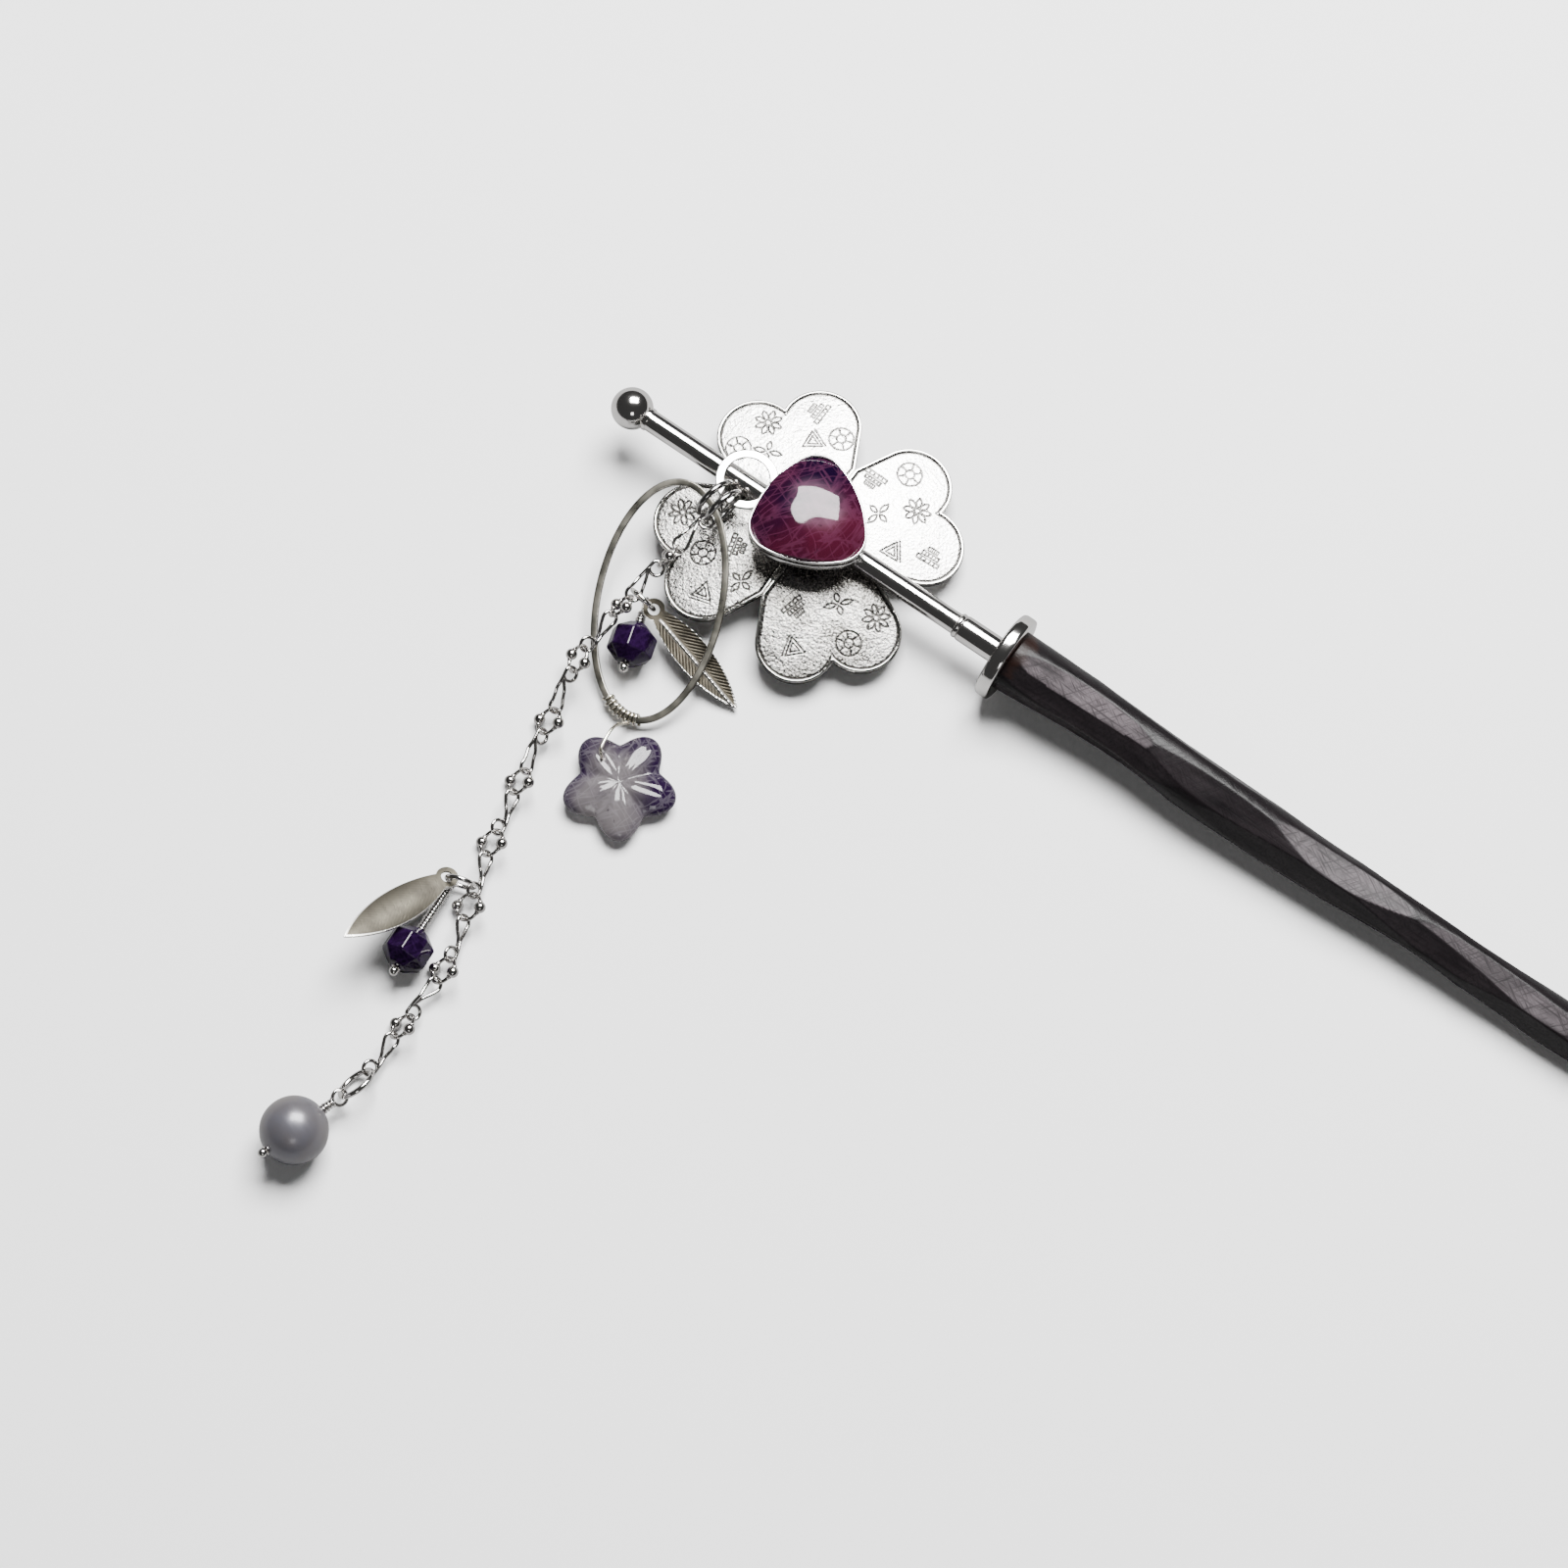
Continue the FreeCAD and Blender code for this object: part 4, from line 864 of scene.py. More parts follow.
def petal_outline(sizes, angles, middle):
    """How far a petal's edge is from its middle, at each angle.

    The edge is two straight sides of a right-angled wedge, two flanks that touch the round lobes, and the
    lobes.
    """
    reach, spread, radius = sizes.petal_reach / MM, sizes.petal_spread / MM, sizes.petal_lobe / MM
    root = sizes.petal_root / MM
    to_lobe = np.array([reach, spread - root])
    swing = math.degrees(math.acos(radius / np.linalg.norm(to_lobe)))
    back = math.degrees(math.atan2(-to_lobe[1], -to_lobe[0])) % 360
    touch = back - swing
    notch = -math.degrees(math.asin(spread / radius))
    lobe = arc((reach, spread), radius, touch, notch, 160)
    slope = (lobe[0, 1] - root) / lobe[0, 0]
    meet = root / (1 - slope)
    flank = np.linspace((meet, meet), lobe[0], 30)[:-1]
    wedge = np.linspace((0.0, 0.0), (meet, meet), 20)[:-1]
    upper = np.vstack([wedge, flank, lobe])
    lower = upper[::-1] * [1, -1]
    edge = np.vstack([upper, lower]) - middle
    angle = np.arctan2(edge[:, 1], edge[:, 0])
    order = np.argsort(angle)
    return np.interp(angles, angle[order], np.hypot(edge[order, 0], edge[order, 1]), period=TAU)


def mirrored_pair(along, out, turn):
    """A bulging line and its mirror image, both turned by an angle."""
    c, s = math.cos(turn), math.sin(turn)
    return [np.stack([along * c - side * out * s, along * s + side * out * c], 1) for side in (1, -1)]


def daisy():
    """Eight pointed petals round a ring, each a pair of sine bulges."""
    t = np.linspace(0, 1, 40)
    strokes = []
    for k in range(8):
        strokes += mirrored_pair(0.3 + 1.05 * t, 0.26 * np.sin(math.pi * t) ** 0.8, k * TAU / 8)
    strokes.append(arc((0, 0), 0.28, 0, 360, 30))
    return np.vstack(strokes)


def sprig():
    """Four leaf shapes in a cross, one pair longer."""
    t = np.linspace(0, 1, 30)
    strokes = []
    for k, long in enumerate((1.25, 0.95, 1.25, 0.95)):
        strokes += mirrored_pair(0.16 + long * t, 0.24 * np.sin(math.pi * t), k * TAU / 4 + 0.6)
    return np.vstack(strokes)


def wheel():
    """A ring with a smaller ring and six short spokes."""
    strokes = [arc((0, 0), 1.2, 0, 360, 110), arc((0, 0), 0.45, 0, 360, 44)]
    t = np.linspace(0.5, 1.15, 14)
    for k in range(6):
        strokes.append(np.stack([t * math.cos(k * TAU / 6), t * math.sin(k * TAU / 6)], 1))
    return np.vstack(strokes)


def polygon(corners, count):
    corners = np.asarray(corners, float)
    return np.vstack([np.linspace(a, b, count) for a, b in zip(corners, np.roll(corners, -1, 0))])


def triangles():
    """Two nested triangles with a bar below."""
    return np.vstack([
        polygon([(-0.95, -0.7), (0.95, -0.7), (0.0, 0.95)], 40),
        polygon([(-0.5, -0.45), (0.5, -0.45), (0.0, 0.4)], 22),
        np.linspace((-1.05, -0.98), (1.05, -0.98), 30),
    ])


def tiers():
    """Three stacked bars, each shorter than the one below, with upright lines between."""
    strokes = []
    for level, half in enumerate((1.15, 0.85, 0.5)):
        low = -0.85 + level * 0.58
        strokes.append(polygon([(-half, low), (half, low), (half, low + 0.4), (-half, low + 0.4)], 28))
        for u in np.linspace(-half, half, 6)[1:-1]:
            strokes.append(np.linspace((u, low + 0.06), (u, low + 0.34), 7))
    return np.vstack(strokes)


# stamps on each petal: (petal, motif, along the petal, across it, turn in degrees), in millimetres
STAMPS = (
    (0, daisy, 15.4, 2.4, 10), (0, tiers, 16.0, -3.9, -45), (0, sprig, 11.4, 3.2, 30),
    (0, triangles, 11.8, -2.4, 20), (0, wheel, 11.6, -6.2, 0), (0, wheel, 12.6, 6.7, 0),
    (1, tiers, 9.0, 5.4, 135), (1, wheel, 13.8, 5.6, 0), (1, daisy, 13.8, 0.6, 22), (1, sprig, 8.9, 0.9, 0),
    (1, tiers, 14.4, -5.4, -40), (1, triangles, 9.4, -4.2, 80),
    (2, tiers, 9.7, -3.4, -60), (2, sprig, 9.9, 1.9, 60), (2, wheel, 15.0, 2.3, 0),
    (2, triangles, 14.6, -4.3, -30), (2, daisy, 12.4, 6.2, 0),
    (3, wheel, 13.4, 0.4, 0), (3, tiers, 9.0, 0.5, 60), (3, sprig, 9.4, 5.0, 0), (3, daisy, 15.0, -5.4, 0),
    (3, triangles, 14.2, 5.3, 150), (3, sprig, 10.2, -4.4, 30),
)

# the petals' directions in degrees from the pin's axis: away to the left of it, then round
PETAL_TURNS = (135.0, 45.0, -45.0, -135.0)
# painted shade on each petal: the last two, which don't mirror the lamp, are painted dark
PETAL_PAINTED_SHADE = (0.0, 0.0, 0.95, 0.9)


def stamped(x, y, petal):
    """How deep the stamp lines are at each point: for the nearest stroke, the bell curve of its distance."""
    line = np.zeros(x.shape)
    for which, motif, u, v, turn in STAMPS:
        if which != petal:
            continue
        a = math.radians(turn)
        strokes = motif() @ np.array([[math.cos(a), math.sin(a)], [-math.sin(a), math.cos(a)]]) * 1.3 + (u, v)
        near = np.hypot(x - u, y - v) < 2.3
        off = np.stack([x[near], y[near]], 1)
        apart = off[:, None] - strokes[None]
        gap = np.min(np.hypot(apart[..., 0], apart[..., 1]), 1)
        line[near] = np.maximum(line[near], np.exp(-((gap / 0.085) ** 2)))
    return line


def make_clover():
    """The clover: four heart-shaped petals of thin domed sheet.

    A petal's points go out from its middle to its edge by share of the way and by angle. Their height is the
    clover's dome plus a raised rim, low swells, hammered grain and the stamps. The sheet's underside follows.
    """
    sizes = bpy.context.scene.hair_pin_sizes
    centre = clover_place()
    middle = np.array([9.6, 0.0])
    count = 560
    angles = np.linspace(-math.pi, math.pi, count, endpoint=False)
    reach = petal_outline(sizes, angles, middle)
    share = np.concatenate([np.linspace(0.012, 0.9, 104), np.linspace(0.9, 0.997, 34)[1:]])
    around = np.stack([np.cos(angles), np.sin(angles)], 1)
    slope = np.gradient(reach, angles)
    lean = reach / np.sqrt(reach**2 + slope**2)
    dome = 110.0
    low_face = -1.395
    for petal, heading in enumerate(PETAL_TURNS):
        flat = middle + share[:, None, None] * reach[None, :, None] * around[None]
        x, y = flat[..., 0], flat[..., 1]
        to_edge = (1 - share)[:, None] * (reach * lean)[None]
        inner = np.hypot(x, np.abs(y))
        outer_edge = np.clip((inner - 4.2) / 2.5, 0, 1)
        rim = np.exp(-((to_edge - 0.2) / (sizes.petal_rim / MM * 0.55)) ** 4) * outer_edge
        groove = np.exp(-((to_edge - 0.56) / 0.08) ** 2) * outer_edge
        line = np.maximum(stamped(x, y, petal) * (1 - rim), groove)
        spot = np.stack([x, y, np.full_like(x, petal * 9.0)], -1)
        swell = 0.03 * cell_noise(spot * 0.1, 20 + petal, 2) + 0.012 * cell_noise(spot * 0.45, 30 + petal, 2)
        hammer = 0.008 * cell_noise(spot * 1.6, 40 + petal, 3)
        rise = 0.17 * rim + (swell + hammer) * (1 - rim) - sizes.stamp_depth / MM * line
        rise = rise - 0.1 * np.clip(1 - to_edge / 0.12, 0, 1) ** 2
        height = low_face - dome + np.sqrt(dome**2 - x**2 - y**2) + rise
        top = np.stack([x, y, height - 0.16], -1)
        under_share = np.array([0.999, 1.0, 1.0, 0.995, 0.97, 0.9, 0.75, 0.55, 0.3, 0.08])
        drop = np.array([0.14, 0.3, 0.62, 0.8, 0.86, 0.86, 0.86, 0.86, 0.86, 0.86])
        under = middle + under_share[:, None, None] * reach[None, :, None] * around[None]
        ux, uy = under[..., 0], under[..., 1]
        under_height = low_face - dome + np.sqrt(dome**2 - ux**2 - uy**2) - drop[:, None]
        grid = np.concatenate([top, np.stack([ux, uy, under_height], -1)])
        a = math.radians(heading)
        turn = np.array([[math.cos(a), math.sin(a), 0], [-math.sin(a), math.cos(a), 0], [0, 0, 1]])
        surface = skin(placed(grid @ turn * MM, centre, PIN))
        # painted shade: the rows round the cut edge are marked like stamp lines, so that the edge is painted
        # near black
        edge_rows = np.ones((len(under_share), count)) * (under_share > 0.96)[:, None]
        rims = with_poles(np.concatenate([rim, 0 * edge_rows]))
        lines = with_poles(np.concatenate([line, edge_rows]))
        # painted shade: the last two petals and the whole underside go over to the dark tone, in patches on
        # the two petals
        depth = np.clip((inner - 5.0) / 6.0, 0, 1)
        patches = 0.25 * cell_noise(spot * 0.12, 60 + petal, 2) * (petal > 1)
        painted_shade = PETAL_PAINTED_SHADE[petal] * (1 - 0.25 * depth) + patches
        painted_shade = np.clip(painted_shade, 0, 1)
        painted_shade_rows = with_poles(np.concatenate([painted_shade, np.ones_like(ux)]))
        finish_mesh(
            f"petal_{petal + 1}", surface, "hammered_silver", "pin", "clover_plate",
            marks={"line": lines, "rim": rims, "painted_shade": painted_shade_rows},
        )
    for name in ("binding_wire_front", "binding_wire_back"):
        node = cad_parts[name]
        node.data.materials.clear()
        node.data.materials.append(FINISHES["dark_wire"])


# --- the stone and its setting --------------------------------------------------------------------

STONE_TURN = 115.0


def stone_outline(inset, angles):
    """How far the stone's outline is from its centre: three round corners joined by bulging arcs."""
    reach, radius, side = 4.3, 3.6 - inset, 6.4 - inset
    half, near = reach * math.sin(math.pi / 3), reach * math.cos(math.pi / 3)
    span = side - radius
    back = (half**2 + near**2 - span**2) / (2 * (span - near))
    best = np.zeros_like(angles)
    for step in range(3):
        corner = math.radians(STONE_TURN + 120 * step)
        c = reach * np.array([math.cos(corner), math.sin(corner)])
        along = c[0] * np.cos(angles) + c[1] * np.sin(angles)
        inside = np.maximum(along**2 - reach**2 + radius**2, 0)
        hit = along + np.sqrt(inside)
        wide = math.radians(STONE_TURN + 120 * step + 60)
        o = -back * np.array([math.cos(wide), math.sin(wide)])
        run = o[0] * np.cos(angles) + o[1] * np.sin(angles)
        far = run + np.sqrt(np.maximum(run**2 - back**2 + (side + back) ** 2, 0))
        away = np.abs((angles - wide + math.pi) % TAU - math.pi)
        meet = np.array([near, half]) + radius * unit([near + back, half])
        limit = math.atan2(meet[1], meet[0])
        best = np.where(away <= limit, far, best)
        turn_away = np.abs((angles - corner + math.pi) % TAU - math.pi)
        best = np.where(turn_away < math.pi / 3 - limit + 1e-6, hit, best)
    return best


def make_stone():
    """The stone and its cup.

    The stone's height is a sphere's, with a flatter table in the middle and a low girdle. The cup is its
    outline carried inwards and up: floor, outer wall with one groove, burnished lip, and inner wall.
    """
    centre = clover_place()
    seat = 1.375 + 0.04 + 0.5
    angles = np.linspace(-math.pi, math.pi, 200, endpoint=False)
    around = np.stack([np.cos(angles), np.sin(angles)], 1)
    cup = [(3.0, 0.0), (0.25, 0.0), (0.06, 0.06), (0.0, 0.2), (0.0, 0.95), (0.09, 1.08), (0.12, 1.2),
           (0.09, 1.32), (0.0, 1.45), (0.0, 2.2), (0.03, 2.42), (0.1, 2.52), (0.18, 2.54), (0.26, 2.5),
           (0.3, 2.4), (0.3, 0.55), (3.0, 0.5)]
    rows = [
        np.column_stack([stone_outline(inset, angles)[:, None] * around, np.full(200, up)])
        for inset, up in cup
    ]
    surface = skin(placed((np.array(rows) + [0, 0, seat]) * MM, centre, PIN))
    finish_mesh("bezel", surface, "silver_bezel", "pin", "bezel_cup", sharp=60)
    crown_rows, edge_rows = np.linspace(0.02, 0.9, 34), np.linspace(0.92, 1.0, 8)
    share = np.concatenate([crown_rows, edge_rows, np.ones(5), [0.9, 0.5, 0.1]])
    edge = stone_outline(0.28, angles)
    flat = share[:, None, None] * edge[None, :, None] * around[None]
    r = np.hypot(flat[..., 0], flat[..., 1])
    crown = 4.25 - 12.0 + np.sqrt(144 - r**2)
    table = 4.02 - 0.012 * r**2
    height = crown - np.log1p(np.exp((crown - table) * 8)) / 8
    spot = np.stack([flat[..., 0], flat[..., 1], 0 * r], -1)
    height = height + 0.05 * cell_noise(spot * 0.2, 77, 2)
    height[-8:-3] = np.linspace(height[-9].mean() - 0.15, 0.3, 5)[:, None]
    height[-3:] = 0.02
    grid = np.concatenate([flat, height[..., None]], -1)
    side = (grid[..., 0] * 0.35 + grid[..., 1] * -0.25) / 6.0
    zone = np.clip(0.42 + side * 1.3 + 0.25 * cell_noise(spot * 0.12, 5, 2), 0, 1)
    # painted highlight: a blotchy pinkish patch over the table, where the lamp's reflection lies
    painted_highlight = np.exp(-((np.hypot((grid[..., 0] - 0.4) / 3.2, (grid[..., 1] - 0.9) / 2.7)) ** 4))
    painted_highlight = np.clip(painted_highlight * (0.75 + 0.55 * cell_noise(spot * 0.28, 9, 3)), 0, 1)
    surface = skin(placed((grid + [0, 0, seat + 0.5]) * MM, centre, PIN))
    finish_mesh(
        "stone", surface, "amethyst", "pin", "amethyst_stone",
        marks={
            "zone": with_poles(zone, 0.5),
            "painted_highlight": with_poles(painted_highlight),
        },
    )
    ring, _ = lie_of("hanger_ring")
    band = rounded([(2.8, 0.25), (2.8, -0.25), (3.9, -0.25), (3.9, 0.25), (2.8, 0.25), (2.8, -0.25)], 4)[5:-1]
    profile = np.stack([band[:, 1], band[:, 0]], 1)[: -1]
    surface = turned_solid(profile * MM, ring, ABOVE, 110, closed=True)
    finish_mesh("flat_ring", surface, "nickel", "pin", "hanger_ring", sharp=50)


# --- rings, hoop and flower -----------------------------------------------------------------------


def make_jump_rings():
    """The two jump rings: round wire bent to a circle."""
    for name in ("jump_ring_left", "jump_ring_right"):
        centre, axes = lie_of(name)
        surface = ring_of(centre, axes, 2.6 * MM, 0.4 * MM, 96, 20, wobble=0.006)
        finish_mesh(name + "_wire", surface, "ring_nickel", "jump_rings", name)


def hoop_axes():
    """The hoop's centre, the way down its length, the way across it and its upper normal."""
    centre, axes = lie_of("oval_hoop")
    down = axes[0] * -np.sign(axes[0][1])
    normal = axes[2] * np.sign(axes[2][2])
    return centre, np.array([down, np.cross(normal, down), normal])


# half of the oval's length and width, and of the strip's width and thickness, in millimetres
HOOP_LONG, HOOP_WIDE = 15.0, 7.8
STRIP_WIDE, STRIP_THICK = 0.44, 0.28


def hoop_line(angle):
    """Points of the hoop's own oval: half length and half width times the cosine and sine of an angle."""
    return np.stack([HOOP_LONG * np.cos(angle), HOOP_WIDE * np.sin(angle), 0 * angle], 1)


def hoop_sides(angle):
    """The oval's outward direction and its normal at each angle, in the hoop's own axes."""
    tangent = unit(np.stack([-HOOP_LONG * np.sin(angle), HOOP_WIDE * np.cos(angle), 0 * angle], 1))
    normal = np.broadcast_to([0.0, 0.0, 1.0], tangent.shape)
    return np.cross(tangent, normal), normal


def make_hoop():
    """The hoop: a flat strip with rounded edges carried round an oval."""
    centre, axes = hoop_axes()
    angle = np.linspace(0, TAU, 260, endpoint=False)
    out, normal = hoop_sides(angle)
    corners = [(-1, -1), (1, -1), (1, 1), (-1, 1), (-1, -1), (1, -1)] * np.array([STRIP_WIDE, STRIP_THICK])
    section = rounded(corners, 5)[6:-1]
    section = section[:-1] if np.allclose(section[0], section[-1]) else section
    grid = hoop_line(angle)[:, None] + section[None, :, :1] * out[:, None]
    grid = grid + section[None, :, 1:] * normal[:, None]
    surface = skin(placed(grid * MM, centre, axes), wrap_rows=True)
    worn = np.clip((np.abs(section[:, 0]) - 0.32) / 0.08, 0, 1) * (section[:, 1] > -0.2) * (section[:, 0] < 0)
    edge = np.broadcast_to(worn[None], grid.shape[:2]).ravel()
    finish_mesh(
        "hoop_strip", surface, "gunmetal", "hoop", "oval_hoop", sharp=50,
        marks={"edge": edge},
    )


def make_wrap():
    """The wound wire: turns about the hoop's strip that step along the oval, then a leg down to the flower.

    Each turn is an oval a little larger than the strip's section. The leg goes smoothly through its stops.
    """
    sizes = bpy.context.scene.hair_pin_sizes
    centre, axes = hoop_axes()
    turns = sizes.wrap_turns
    spin = np.linspace(0, turns * TAU, turns * 30)
    start, stop = -0.55, 0.06
    angle = start + (stop - start) * spin / spin[-1]
    out, normal = hoop_sides(angle)
    wide = STRIP_WIDE + 0.21 + 0.02 * np.sin(spin * 0.37)
    tall = STRIP_THICK + 0.2 + 0.03 * np.cos(spin * 0.53)
    power = 0.7
    c, s = np.cos(spin), np.sin(spin)
    outwards, upwards = np.sign(c) * np.abs(c) ** power * wide, np.sign(s) * np.abs(s) ** power * tall
    coil = hoop_line(angle) + outwards[:, None] * out + upwards[:, None] * normal
    coil = placed(coil * MM, centre, axes)
    core = placed(hoop_line(angle) * MM, centre, axes)
    t = tangents(coil, False)
    radial = unit(coil - core)
    side = unit(np.cross(t, radial))
    up = np.cross(side, t)
    ring = np.linspace(0, TAU, 10, endpoint=False)
    section = np.stack([np.cos(ring), np.sin(ring)], 1) * sizes.wrap_wire
    scale = np.clip(np.minimum(np.arange(len(coil)), np.arange(len(coil))[::-1]) / 3.0, 0.05, 1)
    winding = swept(coil, side, up, section, closed=False, scale=scale)
    hole, top = flower_hole()
    begin = placed(hoop_line(np.array([-0.1])) * MM + np.array([[0.6, 0, 0.3]]) * MM, centre, axes)[0]
    toward = unit((hole - begin) * [1, 1, 0])
    aside = np.cross([0, 0, 1], toward)
    stops = np.array([
        begin,
        begin + (hole - begin) * 0.35 + [0, 0, 2.4 * MM] - aside * 0.7 * MM,
        [*(hole[:2] - toward[:2] * 0.9 * MM - aside[:2] * 0.5 * MM), top + 1.0 * MM],
        [*hole[:2], top + 0.35 * MM],
        [*hole[:2], (hole[2] + top) / 2],
    ])
    leg_path = smooth_path(stops, 60)
    leg = wire(leg_path, sizes.wrap_wire, aside, sides=10)
    surface = joined([winding, leg])
    finish_mesh("hoop_winding", surface, "champagne_wire", "hoop", "hoop_wire_wrap")


# the direction of the flower's first lobe, in degrees, and a round measure of its radius, in millimetres
FLOWER_FIRST = -55.0
FLOWER_WIDE = 6.5


def flower_hole():
    """The middle of the flower's drilled hole, and the height of the bead's top."""
    low, high = (np.array(v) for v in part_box("flower_bead"))
    centre, _ = lie_of("flower_bead")
    a = math.radians(FLOWER_FIRST + 216.0)
    middle = np.array([centre[0], centre[1], (low[2] + high[2]) / 2])
    hole = middle + 3.7 * MM * np.array([math.cos(a), math.sin(a), 0])
    return hole, high[2]


def make_flower():
    """The flower bead: a closed pillow whose edge bulges in five lobes.

    Its edge lies at a radius that swells five times round. The half thickness falls from the middle to the
    edge as a rounded root, less a groove between lobes, a cut down each lobe and a dimple in the middle.
    """
    low, high = (np.array(v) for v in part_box("flower_bead"))
    centre, _ = lie_of("flower_bead")
    centre = np.array([centre[0], centre[1], (low[2] + high[2]) / 2])
    count = 300
    angles = np.linspace(0, TAU, count, endpoint=False)
    phase = 5 * (angles - math.radians(FLOWER_FIRST))
    lobe = 0.5 + 0.5 * np.cos(phase)
    edge = 5.1 + 2.05 * lobe**0.75
    share = np.concatenate([np.linspace(0.015, 0.86, 40), 1 - 0.14 * (1 - np.linspace(0.1, 1, 14)) ** 2])
    s = share[:, None]
    groove = (1 - lobe)[None] ** 2
    from_lobe = np.abs((phase / 5 + math.pi / 5) % (TAU / 5) - math.pi / 5)[None]
    crease = np.exp(-((from_lobe * s * FLOWER_WIDE) / 0.45) ** 2)
    tall = 1.78 * np.sqrt(np.clip(1 - s**2.6, 0, 1))
    tall = tall * (1 - 0.3 * groove * np.clip(s * 1.6, 0, 1))
    tall = tall - 0.09 * crease * np.sin(math.pi * np.clip(s * 1.1, 0, 1))
    tall = tall - 0.35 * np.exp(-((s * FLOWER_WIDE / 1.3) ** 2))
    x = s * edge * np.cos(angles)
    y = s * edge * np.sin(angles)
    top = np.stack([x, y, tall], -1)
    under = np.stack([x, y, -tall * 0.98], -1)[::-1]
    grid = np.concatenate([top, under])
    surface = skin((grid * MM) + centre)
    along = 0.5 + 0.5 * cell_noise(np.stack([grid[..., 0], grid[..., 1], 0 * grid[..., 0]], -1) * 0.07, 6, 2)
    clear = np.exp(-((np.hypot(grid[..., 0] + 0.4, grid[..., 1] + 4.2) / 3.4) ** 2))
    rind = np.clip(s * 1.3 - 0.45, 0, 1)
    rind = np.concatenate([np.broadcast_to(rind, x.shape), np.broadcast_to(rind, x.shape)[::-1]])
    zone = np.clip(0.85 - 0.75 * along * rind - 0.4 * rind + 0.8 * clear, 0, 1)
    finish_mesh(
        "flower", surface, "lilac_glass", "flower", "flower_bead",
        marks={"zone": with_poles(zone, 0.6)},
    )


# --- the chain ------------------------------------------------------------------------------------


def eight_path(count=132):
    """A figure of eight: two round ends joined by straight runs that cross, one run bowed over the other."""
    centre, radius = 2.1, 0.9
    lean = math.asin(radius / centre)
    far = arc((centre, 0), radius, -90 - math.degrees(lean), 90 + math.degrees(lean), 60)
    near = arc((-centre, 0), radius, 90 - math.degrees(lean), -270 + math.degrees(lean), 60)[::-1]
    runs = np.linspace(0, 1, 30)[1:-1, None]
    over = far[-1] * (1 - runs) + near[0] * runs
    under = near[-1] * (1 - runs) + far[0] * runs
    flat = np.vstack([far, over, near, under])
    bow = 0.25 * np.exp(-((flat[:, 0] / 0.75) ** 2))
    sign = np.concatenate([np.zeros(60), np.ones(28), np.zeros(60), -np.ones(28)])
    return evenly(np.column_stack([flat, bow * sign]), count, closed=True)


def make_chain():
    """The chain: wire figures of eight, and rings with a bead of metal on each side."""
    sizes = bpy.context.scene.hair_pin_sizes
    local = eight_path()
    for number in range(1, 11):
        name = f"chain_link_{number:02d}"
        centre, axes = lie_of(name)
        path = placed(local * MM, centre, axes)
        surface = wire(path, sizes.chain_wire, axes[2], closed=True, sides=12)
        finish_mesh(f"eight_{number:02d}", surface, "chain_wire", f"link_{number:02d}", name)
    for number in range(1, 10):
        name = f"ball_ring_{number}"
        centre, axes = lie_of(name)
        parts = [ring_of(centre, axes, 1.75 * MM, sizes.chain_wire, 60, 12)]
        for side in (-1, 1):
            middle = centre + axes[0] * side * 1.85 * MM
            parts.append(ball(middle, 0.72 * MM, 14, 24, axis=axes[0]))
            for end in (-1, 1):
                collar = middle + (axes[1] * end * 0.66 - axes[0] * side * 0.2) * MM
                parts.append(ball(collar, 0.33 * MM, 8, 14, axis=axes[1]))
        surface = joined(parts)
        finish_mesh(f"bead_ring_{number}", surface, "chain_wire", f"chain_ring_{number}", name)


# --- charms and pearl -----------------------------------------------------------------------------


# a headpin's wire, the radius of its loop and of its ball, in metres
PIN_WIRE, LOOP, PIN_BALL = 0.225 * MM, 0.95 * MM, 0.6 * MM
BEAD_HALF = 2.7


def pin_lie(bead, pin):
    """A headpin's bead centre, its direction towards the loop, the loop's reach and the loop's normal."""
    middle, _ = lie_of(bead)
    points = node_points(pin)
    _, axes = lie_of(pin)
    axis = axes[0]
    run = (points.reshape(-1, 3) - middle) @ axis
    if -run.min() > run.max():
        axis, run = -axis, -run
    reach = run.max() - (0.95 + 0.225) * MM
    _, loop = lie_of(pin, keep=lambda m: (m - middle) @ axis > reach - 0.5 * MM)
    normal = unit(loop[2] - axis * (loop[2] @ axis))
    return middle, axis, reach, normal


def headpin(middle, axis, reach, normal, half_bead):
    """A headpin: a ball under the bead, a coil of wire wound on the neck above it, and a round loop."""
    side = np.cross(normal, axis)
    lie = np.array([side, axis, normal])
    parts = [ball(middle - axis * (half_bead + PIN_BALL), PIN_BALL, 16, 28, axis)]
    washer = np.array([(-half_bead - 0.12 * MM, 0.62 * MM), (-half_bead + 0.1 * MM, 0.5 * MM)])
    parts.append(turned_solid(washer, middle, axis, 24))
    straight = np.linspace(-half_bead, reach - LOOP, 12)[:, None] * axis + middle
    parts.append(wire(straight, PIN_WIRE, normal, sides=10))
    neck = reach - LOOP - half_bead
    turns = max(2, round(neck / (0.42 * MM)))
    spin = np.linspace(0, turns * TAU, turns * 18)
    rise = half_bead + 0.16 * MM + (neck - 0.1 * MM) * spin / spin[-1]
    wide = (0.43 + 0.04 * np.sin(spin * 0.31)) * MM
    coil = middle + rise[:, None] * axis + (np.cos(spin) * wide)[:, None] * side
    coil = coil + (np.sin(spin) * wide)[:, None] * normal
    parts.append(wire(coil, 0.19 * MM, axis, sides=8))
    loop = np.linspace(-math.pi / 2, 1.5 * math.pi, 56, endpoint=False)
    circle = np.stack([0.95 * np.cos(loop), reach / MM + 0.95 * np.sin(loop), 0.03 * np.sin(loop * 0.5)], 1)
    parts.append(wire(placed(circle * MM, middle, lie), PIN_WIRE, normal, closed=True, sides=12))
    return joined(parts)


